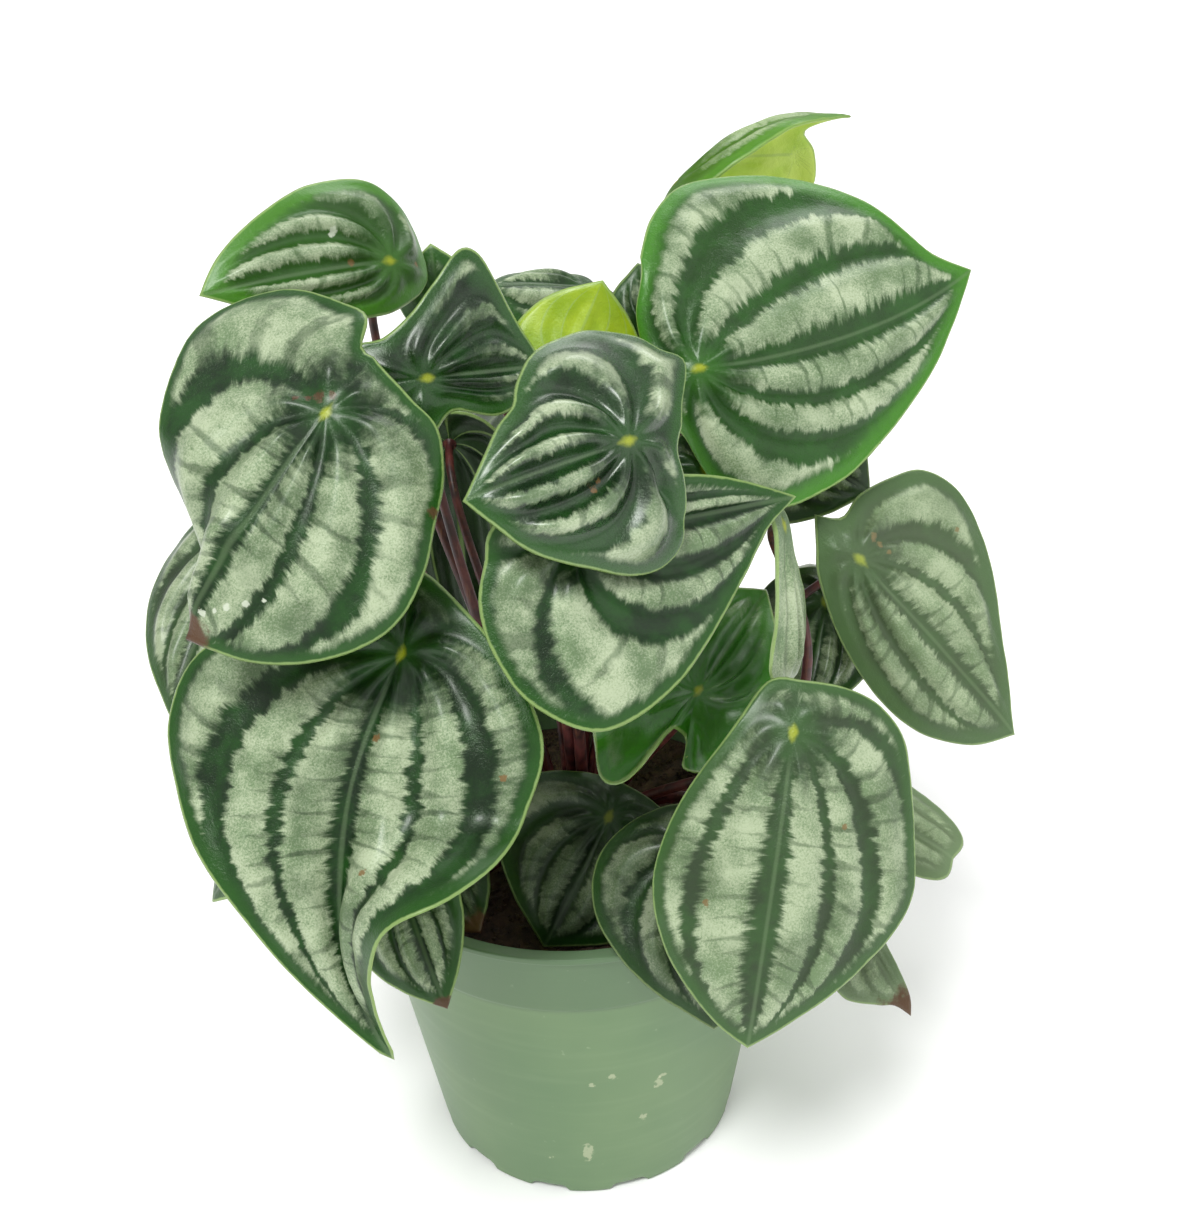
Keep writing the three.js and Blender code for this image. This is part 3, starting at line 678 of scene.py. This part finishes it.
looks = {
    "upper_left": {
        "bright": 0.3, "green": rgb(66, 122, 30), "quilting": 0.9, "margin": 3.8,
        "darkWidths": (0.24, 0.2, 0.26, 0.2, 0.2),
        "marks": ((9.3, 0.6, 0.8, "rust"), (-8, -0.6, 0.7, "rust"), (11.2, 7.3, 0.9, "white")),
    },
    "scrap_left": {"bright": 0.3, "quilting": 0.4},
    "left_large": {
        "veins": ((0, 0.2, 0.5, 0.8, 1), (0, 0.3, 0.62, 1)), "tipBrown": 5.0, "centre": 10,
        "ragged": 0.5, "darkWidths": (0.1, 0.13, 0.13, 0.1), "margin": 2.6,
        "marks": ((-1.9, 2.9, 1.2, "brown"), (-0.6, 4.8, 0.8, "brown"),
                  (-3.4, 1.0, 0.8, "brown"), (0.6, 6.4, 0.6, "brown"), (42.3, -1.3, 0.7, "white"),
                  (40.6, -3.0, 0.6, "white"), (38.8, -4.7, 0.7, "white"),
                  (36.7, -7.2, 0.6, "white"), (34.7, -9.6, 0.5, "white"),
                  (3.5, -26.4, 1.2, "brown")),
        "ridges": ((8, 3, 28, 2.4, 3.5, 1.6), (28, 2.4, 41, 2, 3.5, 2.0),
                   (-3, 1, -17, 7, 3, 1.3)),
    },
    "front_left": {
        "centre": 13, "gloss": 0.34, "darkWidths": (0.13, 0.1, 0.2, 0.2, 0.1), "margin": 3.2,
        "marks": ((16.5, -2.1, 0.8, "rust"), (41.3, -8.4, 0.7, "rust"),
                  (21.1, -28.6, 0.8, "rust")),
    },
    "inner_left": {
        "quilting": 0.8, "gloss": 0.28, "coat": 0.5, "centre": 16,
        "darkWidths": (0.32, 0.32, 0.32, 0.32, 0.32),
    },
    # the yellow-green undersides of this leaf and the next two are painted light: they are coloured
    # as if lit through from behind
    "back_middle": {"bright": 0.2, "below": (rgb(120, 140, 20), rgb(154, 174, 30))},
    "back_small": {"bright": 0.6, "quilting": 0.2, "below": (rgb(132, 164, 16), rgb(166, 190, 34))},
    "top": {
        "bright": 0.35, "green": rgb(66, 124, 34), "quilting": 0.4, "through": 0.3,
        "glow": (0.6, 0.8, 0.1, 1), "below": (rgb(186, 218, 66), rgb(226, 244, 116)),
    },
    "upper_right": {
        "margin": 4.4, "gloss": 0.3, "green": rgb(60, 122, 24), "bright": 0.16,
        "darkWidths": (0.2, 0.15, 0.25, 0.16, 0.16),
    },
    "centre": {
        "quilting": 1.35, "gloss": 0.28, "coat": 0.8, "bright": 0.06,
        "darkWidths": (0.3, 0.27, 0.3, 0.24, 0.24),
        "marks": ((9.4, -6.4, 0.7, "rust"), (8, -5.1, 0.5, "rust")),
        "ridges": ((-3, -4.5, -5, -10, 2.4, -1.2), (-5, -10, -9, -17, 2.4, -1.2)),
    },
    "middle": {"gloss": 0.34, "margin": 2.6, "ragged": 0.34,
               "darkWidths": (0.22, 0.24, 0.24, 0.1, 0.1)},
    "striped": {"gloss": 0.3, "shade": 0.75},
    "behind_right": {"shade": 0.6},
    "behind_top": {"shade": 0.7, "bright": 0.3},
    "inner_right": {"shade": 0.6},
    "low_middle": {"shade": 0.4, "coat": 0.2},
    "low_right": {"shade": 0.5},
    "far_right": {"paintedSheen": 0.55},
    "far_left": {"paintedSheen": 0.1, "shade": 0.9},
    "edge_on": {
        "pale": 0.8, "bright": 0.2, "gloss": 0.28,
        "below": (rgb(150, 168, 134), rgb(186, 200, 170)),
    },
    # this leaf's bright green is its own green raised as painted light, since it lies in shade
    "wavy": {
        "bright": 0.7, "green": rgb(48, 118, 18), "gloss": 0.2, "coat": 1.0, "centre": 26,
        "quilting": 0.6, "ticks": 0.5,
    },
    "right": {
        "margin": 4.6, "paintedSheen": 0.28, "coat": 0.2,
        "marks": ((-1.4, -5.6, 1.0, "rust"), (0.7, -6, 0.8, "rust"), (3.2, -5.8, 0.6, "rust"),
                  (11.1, -22.4, 0.7, "rust")),
    },
    "front_right": {
        "paintedSheen": 0.12,
        "veins": ((0, 0.25, 0.45, 0.7, 1), (0, 0.42, 0.75, 1)), "quilting": 0.55,
        "marks": ((16.9, -12.4, 0.7, "rust"), (36.1, 12.5, 0.8, "rust")),
    },
    "dry_tip": {"pale": 0.3, "paintedSheen": 0.4, "tipBrown": 7.0},
    "low_left": {"tipBrown": 3.0},
    "low_small": {"tipBrown": 5.0, "shade": 0.6},
    # the dark underside colours of this leaf and the next are painted shade
    "inner_back": {"below": (rgb(14, 34, 12), rgb(30, 56, 22)), "through": 0.0},
    "rear_middle": {"below": (rgb(40, 70, 24), rgb(60, 96, 34))},
}


def bladeMaterial(name, look):
    s = Shader(name)
    c = leafColors
    number, along, _ = s.parts(s.map("veins"))
    number, along = (number - 0.5) * mapSpan["veins"], along * mapSpan["along"]
    u, v, _ = s.parts(s.map("sheet"))
    u, v = (u - 0.5) * mapSpan["sheet"], (v - 0.5) * mapSpan["sheet"]
    toEdge, under = s.field("toEdge"), s.field("under")
    place = s.place()
    fromSpot = (u * u + v * v).math("SQRT")

    cloud = s.noise(place, leafGrain["cloud"], 3.0)
    blot = s.noise(place, leafGrain["blot"], 3.0, 0.6)
    grain = s.noise(place, leafGrain["grain"], 2.0, 0.75)
    inside = abs(number).math("FRACT")
    index = number.math("FLOOR")
    teeth = s.noise(s.vector(along * 0.72 - inside * 1.7 + look["seed"], number * 0.7),
                    1.0, 5.0, 0.68)

    # silver lies between the veins, with a feathered edge
    band = abs((number + 0.5).math("FRACT") - 0.5)
    ragged = band + (teeth - 0.5) * look["ragged"] + (blot - 0.5) * 0.1
    dark = 0
    for k, width in enumerate(look["darkWidths"]):
        dark = s.step(abs(abs(number) - k), 0.6, 0.4) * width + dark
    silver = s.step(ragged - dark, -0.04, 0.09)

    # short dark side veins run out into it from the vein on its inner side
    phase = (along / look["tickSpacing"] - inside * 0.55 + index * 0.37 + look["seed"]
             + (s.noise(s.vector(along * 0.11, index), 1.0, 1.0) - 0.5) * 2
             + (blot - 0.5) * 0.35 + (teeth - 0.5) * 0.5)
    chance = s.add("TexWhiteNoise", {"noise_dimensions": "2D"},
                   s.vector(phase.math("FLOOR"), index))["Value"]
    reach = chance * 0.85 + 0.08
    half = (1 - inside / reach) * 0.2
    tick = 1 - s.step(abs(phase.math("FRACT") - 0.5), half - 0.05, half + 0.12)
    silver = silver * (1 - tick * (0.35 + chance * 0.65) * look["ticks"])

    # there is none near the spot or along the margin, and it comes and goes in patches
    silver = silver * s.step(toEdge + (teeth - 0.5) * 4.5, look["margin"] - 1.2,
                             look["margin"] + 0.8)
    silver = silver * s.step(fromSpot + (blot - 0.5) * 8 + (teeth - 0.5) * 10,
                             look["centre"] * 0.6, look["centre"] * 1.5)
    patch = s.noise(s.vector(number * 0.9 + look["seed"], along * 0.09), 1.0, 3.0, 0.6)
    silver = silver * (0.92 + (cloud - 0.5) * 0.6 + (patch - 0.5) * 1.5) + look["pale"]

    glitter = (grain - 0.5) * 0.85
    silverTone = s.mix(s.step(cloud + glitter, 0.25, 0.75), c["silverDeep"], c["silver"])
    darkTone = s.mix(s.step(cloud + (blot - 0.5) * 0.5, 0.3, 0.75), c["darkDeep"], c["dark"])
    edging = s.step(toEdge + (blot - 0.5) * 3, look["margin"] * 1.3, 0.6)
    darkTone = s.mix(edging * (0.75 + look["bright"]) + look["bright"], darkTone, look["green"])
    line = s.step(abs(v), 0.6, 0.1) * s.step(u, 3.0, 9.0)
    darkTone = s.mix(line * 0.35, darkTone, c["silverDeep"])
    upper = s.mix(silver, darkTone, silverTone)
    glowing = s.step(fromSpot + (blot - 0.5) * 3, 7.0, 1.5) * 0.35
    upper = s.mix(glowing, upper, look["green"])
    star = s.step(fromSpot + abs(v) * 0.9 + (blot - 0.5) * 2.4, 2.6, 0.4)
    upper = s.mix(star, upper, c["spot"])

    lowerTone = s.mix(s.step(cloud, 0.3, 0.7), *look["below"])
    ribs = s.step(band, 0.07, 0.02)
    lowerTone = s.mix(ribs * 0.4, lowerTone, c["rim"])
    color = s.mix(s.step(under, 0.45, 0.55), upper, lowerTone)
    color = s.mix(s.step(toEdge + (blot - 0.5) * 0.5, 0.42, 0.05) * 0.7, color, c["rim"])

    fray = (s.noise(place, leafGrain["fray"], 3.0, 0.7) - 0.5) * 2.4 + (blot - 0.5) * 1.2
    for at, across, size, tint in look["marks"]:
        du, dv = (u - at) / size, (v - across) / size
        off = (du * du + dv * dv).math("SQRT") + fray
        color = s.mix(s.step(off, 1.1, 0.6) * 0.85, color, c[tint])
    # painted sheen: the whole leaf is mixed towards a flat grey-green veil
    color = s.mix(look["paintedSheen"], color, c["paintedSheen"])
    color = s.mix(1 - look["shade"], color, c["shadow"])
    if look["tipBrown"]:
        off = s.field("toTip") / look["tipBrown"] + (blot - 0.5) * 1.4
        color = s.mix(s.step(off, 1.2, 0.7), color, c["brown"])

    pebble = s.noise(place, leafGrain["pebble"], 2.0, 0.6)
    height = silver * 0.3 + grain * 0.7 + pebble * 0.8 + blot * 0.8 - line * 0.4
    rough = look["gloss"] + silver * 0.07 + (grain - 0.5) * 0.2
    glaze = s.add("BsdfPrincipled", None, Base_Color=color, Roughness=rough,
                  Normal=s.bump(height, 0.7, 0.2), IOR=1.42,
                  Specular_Tint=(0.8, 1, 0.74, 1), Coat_Weight=look["coat"],
                  Coat_Roughness=0.24)["BSDF"]
    glow = s.add("BsdfTranslucent", None, Color=look["glow"])["BSDF"]
    return s.surface(s.add("MixShader", None, look["through"], glaze, glow)["Shader"])


petioleForm = {
    "root": 5, "rootHeight": 80, "rise": 0.38, "lean": 0.25, "topReach": 26, "topShare": 0.3,
    "gap": 0.5, "neckLength": 1.5,  # mm below the blade
    "foot": 1.5, "neck": 0.95, "flare": 0.7,  # radii, and what the flare adds at the blade
    "full": 90, "thinnest": 0.82,  # petioles shorter than this are thinner, down to this share
    "sides": 14, "steps": 30,
    "tones": (rgb(44, 16, 18), rgb(92, 40, 38)), "streak": rgb(128, 84, 60),
}


def petiolePath(blade):
    form = petioleForm
    axes = bladeAxes(blade)
    spot, arch = axes["spot"], axes["arch"]
    turn = math.atan2(spot[1], spot[0])
    outward = np.array((math.cos(turn), math.sin(turn), 0))
    root = outward * form["root"] + (0, 0, form["rootHeight"])
    between = math.radians(blade["lift"][1] - blade["lift"][0]) / 2
    meeting = ((axes["out"] * math.cos(arch / 2) - axes["along"] * math.sin(arch / 2))
               * math.cos(between) - axes["right"] * math.sin(between))
    top = spot - meeting * form["neckLength"]
    span = np.linalg.norm(top - root)
    low = root + (outward * form["lean"] + (0, 0, 1)) * span * form["rise"] + blade["bend"][0]
    high = (top - meeting * min(form["topReach"], span * form["topShare"])
            + np.array(blade["bend"][1]))
    t = np.linspace(0, 1, form["steps"])[:, None]
    path = ((1 - t) ** 3 * root + 3 * (1 - t) ** 2 * t * low + 3 * (1 - t) * t * t * high
            + t ** 3 * top)
    return np.vstack((path, spot - meeting * form["gap"]))


# builds a Geometry Nodes tree, its nodes by type and their sockets by name
class Tree:
    def __init__(self, name, sizes):
        self.tree = bpy.data.node_groups.new(name, "GeometryNodeTree")
        self.tree.interface.new_socket("Geometry", in_out="INPUT", socket_type="NodeSocketGeometry")
        self.tree.interface.new_socket("Geometry", in_out="OUTPUT",
                                       socket_type="NodeSocketGeometry")
        self.sizes = {}
        for key, value in sizes.items():
            kind = "NodeSocketInt" if isinstance(value, int) else "NodeSocketFloat"
            socket = self.tree.interface.new_socket(key, in_out="INPUT", socket_type=kind)
            self.sizes[socket.identifier] = value
        self.given = self.tree.nodes.new("NodeGroupInput").outputs
        self.made = self.tree.nodes.new("NodeGroupOutput").inputs["Geometry"]

    def add(self, kind, settings=None, **named):
        node = self.tree.nodes.new(kind)
        for key, value in (settings or {}).items():
            setattr(node, key, value)
        for key, value in named.items():
            wanted = key.replace("_", " ")
            socket = next(s for s in node.inputs if s.enabled and s.name == wanted)
            if isinstance(value, bpy.types.NodeSocket):
                self.tree.links.new(value, socket)
            else:
                socket.default_value = value
        return next(out for out in node.outputs if out.enabled)

    # runs the tree on a piece and leaves a plain mesh there
    def apply(self, piece, last, material):
        whole = self.add("GeometryNodeRealizeInstances", Geometry=last)
        painted = self.add("GeometryNodeSetMaterial", Geometry=whole, Material=material)
        self.tree.links.new(painted, self.made)
        modifier = piece.modifiers.new(self.tree.name, "NODES")
        modifier.node_group = self.tree
        for identifier, value in self.sizes.items():
            modifier[identifier] = value
        applyModifier(piece, modifier)
        return piece


def makePetioles(material):
    form = petioleForm
    points, edges, widths = [], [], []
    for blade in blades.values():
        path = petiolePath({**plainBlade, **blade})
        first = len(points)
        points += list(path)
        edges += [(first + i, first + i + 1) for i in range(len(path) - 1)]
        t = np.linspace(0, 1, len(path))
        length = np.linalg.norm(np.diff(path, axis=0), axis=1).sum()
        size = form["thinnest"] + (1 - form["thinnest"]) * min(1, length / form["full"])
        width = (form["foot"] + (form["neck"] - form["foot"]) * smooth(0, 0.75, t)) * size
        widths += list(width + form["flare"] * smooth(0.975, 1, t))
    mesh = bpy.data.meshes.new("petioles")
    mesh.from_pydata((np.array(points) * mm).tolist(), edges, [])
    mesh.attributes.new("width", "FLOAT", "POINT").data.foreach_set(
        "value", np.array(widths, np.float32) * mm)
    piece = addObject("petioles", mesh)

    tree = Tree("petioleTube", {"sides": form["sides"]})
    curve = tree.add("GeometryNodeMeshToCurve", Mesh=tree.given["Geometry"])
    width = tree.add("GeometryNodeInputNamedAttribute", {"data_type": "FLOAT"}, Name="width")
    curve = tree.add("GeometryNodeSetCurveRadius", Curve=curve, Radius=width)
    ring = tree.add("GeometryNodeCurvePrimitiveCircle", Resolution=tree.given["sides"], Radius=1.0)
    tube = tree.add("GeometryNodeCurveToMesh", Curve=curve, Profile_Curve=ring, Scale=width,
                    Fill_Caps=True)
    soft = tree.add("GeometryNodeSetShadeSmooth", Geometry=tube)
    return tree.apply(piece, soft, material)


def petioleMaterial():
    s = Shader("petiole")
    place = s.place()
    x, y, z = s.parts(place)
    blot = s.noise(place, 300.0, 3.0)
    streak = s.noise(s.vector(x * 900, y * 900, z * 60), 1.0, 3.0)
    tone = s.mix(s.step(blot, 0.3, 0.7), *petioleForm["tones"])
    tone = s.mix(s.step(streak, 0.55, 0.75) * 0.5, tone, petioleForm["streak"])
    glaze = s.add("BsdfPrincipled", None, Base_Color=tone, Roughness=0.32 + blot * 0.2,
                  Normal=s.bump(streak + blot, 0.2, 0.15))["BSDF"]
    return s.surface(glaze)


pot = {
    "height": 88.5, "foot": 37.8, "lip": 53, "wall": 1.6, "floor": 2.5, "band": 18.8,
    "bandStep": 0.7, "bandSlope": 1.1, "lipHeight": 2, "lipOverhang": 0.8, "feet": 12, "footTop": 4,
    "notchWidth": 9.5, "notchHeight": 1.6, "notchDepth": 3, "drains": 6, "drainRadius": 3,
    "drainCircle": 24, "corner": 0.45, "turns": 240,
    "tones": (rgb(94, 124, 84), rgb(107, 134, 93)), "drift": rgb(124, 148, 110),
    # the band's darker tone is painted shade
    "paintedBandShade": rgb(78, 104, 74), "scuff": rgb(186, 192, 160), "dust": rgb(176, 190, 164),
    "scuffs": (  # places of the pale scuffs, with their width and height, in mm
        (17.4, -40.1, 38.5, 0.9, 2.2), (0, -40.4, 16.5, 1.3, 3.2), (13.3, -39.8, 27, 0.9, 1.6),
        (6.6, -44.4, 45.5, 1.1, 1.4), (1.9, -44.4, 43, 0.8, 0.8), (18.5, -40.4, 41, 1.2, 0.7),
        (-9, -38.6, 14, 0.8, 0.8), (-20, -37, 33, 0.6, 0.6),
    ),
}


def potRadius(z):
    taper = (pot["lip"] - pot["lipOverhang"] - pot["bandStep"] - pot["foot"]) / pot["height"]
    return pot["foot"] + taper * z


def turnedPiece(name, profile, turns, material):
    angles = np.linspace(0, 2 * math.pi, turns, endpoint=False)
    points = [(r * math.cos(a), r * math.sin(a), z) for r, z in profile[1:-1] for a in angles]
    rows = len(profile) - 2
    points += [(0, 0, profile[0][1]), (0, 0, profile[-1][1])]
    start, end = len(points) - 2, len(points) - 1
    faces = []
    for i in range(turns):
        j = (i + 1) % turns
        faces += [(k * turns + i, k * turns + j, (k + 1) * turns + j, (k + 1) * turns + i)
                  for k in range(rows - 1)]
        faces += [(start, j, i), (end, (rows - 1) * turns + i, (rows - 1) * turns + j)]
    return addPiece(name, points, faces, material)


# a profile with a small curve of a few steps at each corner
def rounded(profile, radius, steps=4):
    out = [profile[0]]
    for before, at, after in zip(profile, profile[1:], profile[2:]):
        before, at, after = map(np.array, (before, at, after))
        size = min(radius, np.linalg.norm(before - at) * 0.45, np.linalg.norm(after - at) * 0.45)
        a, b = at + unit(before - at) * size, at + unit(after - at) * size
        out += [tuple((1 - t) ** 2 * a + 2 * t * (1 - t) * at + t * t * b)
                for t in np.linspace(0, 1, steps + 1)]
    return out + [profile[-1]]


def makePot(material):
    top, edge = pot["height"], pot["foot"]
    lipFoot, bandFoot = top - pot["lipHeight"], top - pot["band"]
    profile = rounded([
        (0, 0), (edge - pot["notchDepth"] - 0.4, 0), (edge - pot["notchDepth"], 0), (edge, 0),
        (potRadius(pot["footTop"]), pot["footTop"]), (potRadius(bandFoot), bandFoot),
        (potRadius(bandFoot) + pot["bandStep"], bandFoot + pot["bandSlope"]),
        (potRadius(lipFoot) + pot["bandStep"], lipFoot),
        (pot["lip"], lipFoot + pot["lipOverhang"] / 2), (pot["lip"], top),
        (potRadius(top) - pot["wall"], top),
        (potRadius(pot["floor"]) - pot["wall"], pot["floor"]), (0, pot["floor"]),
    ], pot["corner"])
    piece = turnedPiece("nurseryPot", profile, pot["turns"], material)

    # the notches between the feet
    for vertex in piece.data.vertices:
        x, y, z = np.array(vertex.co) / mm
        r = math.hypot(x, y)
        if z < pot["notchHeight"] and r > edge - pot["notchDepth"] - 0.2:
            turn = (math.degrees(math.atan2(y, x)) / 360 * pot["feet"]) % 1
            off = abs(turn - 0.5) / pot["feet"] * 2 * math.pi * edge
            lift = 1 - smooth(pot["notchWidth"] / 2 - 1.3, pot["notchWidth"] / 2 + 0.3, off)
            vertex.co.z += lift * pot["notchHeight"] * mm

    tool = bmesh.new()
    for k in range(pot["drains"]):
        a = 2 * math.pi * k / pot["drains"]
        place = Vector((math.cos(a) * pot["drainCircle"], math.sin(a) * pot["drainCircle"], 1))
        bmesh.ops.create_cone(tool, cap_ends=True, segments=32, radius1=pot["drainRadius"] * mm,
                              radius2=pot["drainRadius"] * mm, depth=0.02,
                              matrix=Matrix.Translation(place * mm))
    cutter = fromBmesh("drains", tool)
    cut = piece.modifiers.new("drains", "BOOLEAN")
    cut.operation, cut.solver, cut.object = "DIFFERENCE", "EXACT", cutter
    applyModifier(piece, cut)
    bpy.data.objects.remove(cutter)
    return piece


def potMaterial():
    s = Shader("potPlastic")
    place = s.place()
    x, y, z = s.parts(place)
    cloud = s.noise(place, 28.0, 3.0)
    drift = s.noise(s.vector(x * 40, y * 40, z * 400), 1.0, 3.0)
    grain = s.noise(place, 1800.0, 2.0)
    bandFoot = pot["height"] - pot["band"]
    tone = s.mix(s.step(cloud, 0.3, 0.75), *pot["tones"])
    tone = s.mix(s.step(drift, 0.45, 0.8) * 0.2, tone, pot["drift"])
    # painted shade: the pot is darker from the foot of the band upwards
    tone = s.mix(s.step(z / mm, bandFoot - 1.2, bandFoot + 0.8) * 0.6, tone, pot["paintedBandShade"])
    fray = s.noise(place, 700.0, 3.0, 0.65) - 0.5
    scuffs = 0
    for atX, atY, atZ, width, height in pot["scuffs"]:
        a, b, c = ((part / mm - at) / size for part, at, size in
                   ((x, atX, width), (y, atY, width), (z, atZ, height)))
        off = (a * a + b * b + c * c).math("SQRT") + fray * 4
        scuffs = s.step(off, 1.1, 0.5) + scuffs
    tone = s.mix(scuffs * 0.6, tone, pot["scuff"])
    dust = s.step(s.noise(place, 420.0, 3.0), 0.7, 0.8)
    tone = s.mix(dust * 0.25, tone, pot["dust"])
    glaze = s.add("BsdfPrincipled", None, Base_Color=tone,
                  Roughness=0.42 + (cloud - 0.5) * 0.2 + scuffs * 0.2,
                  Normal=s.bump(drift * 0.5 + grain * 0.4 + scuffs * 0.5, 0.12, 0.2))["BSDF"]
    return s.surface(glaze)


soil = {
    "top": 79, "dome": 1.5, "gap": 0.3, "roughness": 1.1, "lumps": (0.25, 0.5, 0.9, 1.5, 2.4),
    "reach": 47.2, "perSquareMetre": 240000.0, "smallest": 0.25, "largest": 1.1,  # of the crumbs
    "rings": 34, "turns": 150, "seed": 4,
    "tones": (rgb(34, 24, 18), rgb(74, 54, 38)), "grit": rgb(128, 104, 74),
}


def makeSoil(material):
    edge = potRadius(soil["top"] - 1) - pot["wall"] - soil["gap"]
    bottom = pot["floor"] + soil["gap"]
    rings = [(r, soil["top"] + soil["dome"] * (1 - (r / edge) ** 2)) for r in
             np.linspace(edge, 1.0, soil["rings"])]
    profile = [(0, bottom), (potRadius(3) - pot["wall"] - 0.5, bottom), (edge, soil["top"] - 3),
               *rings, (0, soil["top"] + soil["dome"])]
    piece = turnedPiece("pottingSoil", profile, soil["turns"], material)
    points = np.empty(len(piece.data.vertices) * 3, np.float32)
    piece.data.vertices.foreach_get("co", points)
    points = points.reshape(-1, 3) / mm
    draw = np.random.default_rng(soil["seed"])
    lumps = np.zeros(len(points))
    for size in soil["lumps"]:
        for _ in range(4):
            way = draw.normal(0, size, 2)
            lumps += np.sin(points[:, :2] @ way + draw.uniform(0, 6.3)) / (3 + size * 5)
    inside = smooth(soil["top"] - 2, soil["top"], points[:, 2])
    inside *= smooth(0, 3, edge - np.hypot(points[:, 0], points[:, 1]))
    points[:, 2] += lumps * soil["roughness"] * inside
    piece.data.vertices.foreach_set("co", (points * mm).ravel())
    return piece


def makeCrumbs(ground, material):
    crumb = bmesh.new()
    bmesh.ops.create_icosphere(crumb, subdivisions=1, radius=1)
    draw = np.random.default_rng(soil["seed"])
    for vertex in crumb.verts:
        vertex.co *= draw.uniform(0.65, 1.2)
    shape = fromBmesh("crumb", crumb)

    # only the open top of the soil carries crumbs
    top = bmesh.new()
    top.from_mesh(ground.data)
    away = []
    for face in top.faces:
        place = face.calc_center_median() / mm
        if place.z < soil["top"] - 1 or place.xy.length > soil["reach"]:
            away.append(face)
    bmesh.ops.delete(top, geom=away, context="FACES")
    piece = fromBmesh("soilCrumbs", top)

    tree = Tree("scatter", {"perSquareMetre": soil["perSquareMetre"],
                            "smallest": soil["smallest"] * mm, "largest": soil["largest"] * mm,
                            "seed": soil["seed"]})
    spots = tree.add("GeometryNodeDistributePointsOnFaces", Mesh=tree.given["Geometry"],
                     Density=tree.given["perSquareMetre"], Seed=tree.given["seed"])
    size = tree.add("FunctionNodeRandomValue", {"data_type": "FLOAT"},
                    Min=tree.given["smallest"], Max=tree.given["largest"], Seed=3)
    turn = tree.add("FunctionNodeRandomValue", {"data_type": "FLOAT_VECTOR"},
                    Min=(0, 0, 0), Max=(6.3, 6.3, 6.3), Seed=7)
    form = tree.add("GeometryNodeObjectInfo", Object=shape)
    form = next(out for out in form.node.outputs if out.name == "Geometry")
    crumbs = tree.add("GeometryNodeInstanceOnPoints", Points=spots, Instance=form,
                      Rotation=turn, Scale=size)
    tree.apply(piece, crumbs, material)
    bpy.data.objects.remove(shape)
    return piece


def soilMaterial(name, pale):
    s = Shader(name)
    place = s.place()
    lump = s.noise(place, 320.0, 5.0, 0.7)
    grit = s.noise(place, 1500.0, 3.0, 0.7)
    tone = s.mix(s.step(lump, 0.3, 0.7), *soil["tones"])
    tone = s.mix(s.step(grit, 0.58, 0.72) * pale, tone, soil["grit"])
    glaze = s.add("BsdfPrincipled", None, Base_Color=tone, Roughness=0.8 + grit * 0.2,
                  Normal=s.bump(lump + grit, 0.6, 0.6))["BSDF"]
    return s.surface(glaze)


crown = {"radius": 9, "top": 86, "foot": 74, "turns": 48, "rings": 18, "ripple": 0.025}


# the short stem that the petioles leave, ringed with the scars of old ones
def makeCrown(material):
    rise = crown["top"] - soil["top"]
    profile = [(0, crown["foot"]), (crown["radius"] * 0.8, crown["foot"] + 0.5),
               (crown["radius"], soil["top"] - 1)]
    for a in np.linspace(0, math.pi / 2, crown["rings"], endpoint=False):
        profile.append((crown["radius"] * math.cos(a), soil["top"] + rise * math.sin(a)))
    profile.append((0, crown["top"]))
    piece = turnedPiece("crown", profile, crown["turns"], material)
    for vertex in piece.data.vertices:
        x, y, z = np.array(vertex.co) / mm
        if z > soil["top"]:
            turn = math.atan2(y, x)
            ripple = math.sin(z * 3.1 + turn) + math.sin(5 * turn + z)
            vertex.co.xy *= 1 + crown["ripple"] * ripple
    return piece


floor = {"reach": 6000, "dip": 0.3, "tones": (rgb(252, 252, 252), rgb(255, 255, 255))}


def makeFloor():
    s = Shader("paleFloor")
    tone = s.mix(s.noise(s.place(), 3.0), *floor["tones"])
    material = s.surface(s.add("BsdfPrincipled", None, Base_Color=tone, Roughness=0.9)["BSDF"])
    r, z = floor["reach"], -floor["dip"]
    piece = addPiece("floor", [(-r, -r, z), (r, -r, z), (r, r, z), (-r, r, z)], [(0, 1, 2, 3)],
                     material)


def settle(piece, node):
    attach(piece, "root")
    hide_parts(node)


makeCamera()
makeLight()
makeFloor()
print("camera, light and floor")

settle(makePot(potMaterial()), "pot")
print("pot")

ground = makeSoil(soilMaterial("soilTop", 0.3))
settle(makeCrumbs(ground, soilMaterial("soilGrit", 0.6)), "soil")
settle(ground, "soil")
print("soil")

stalk = petioleMaterial()
settle(makeCrown(stalk), "crown_and_petioles")
settle(makePetioles(stalk), "crown_and_petioles")
print("crown and petioles")

for seed, (name, blade) in enumerate(blades.items()):
    look = {**plainLook, **looks.get(name, {}), "seed": seed * 7.3}
    piece = makeBlade(name, {**plainBlade, **blade}, look, seed)
    settle(piece, "leaf_" + name)
print(len(blades), "leaves")
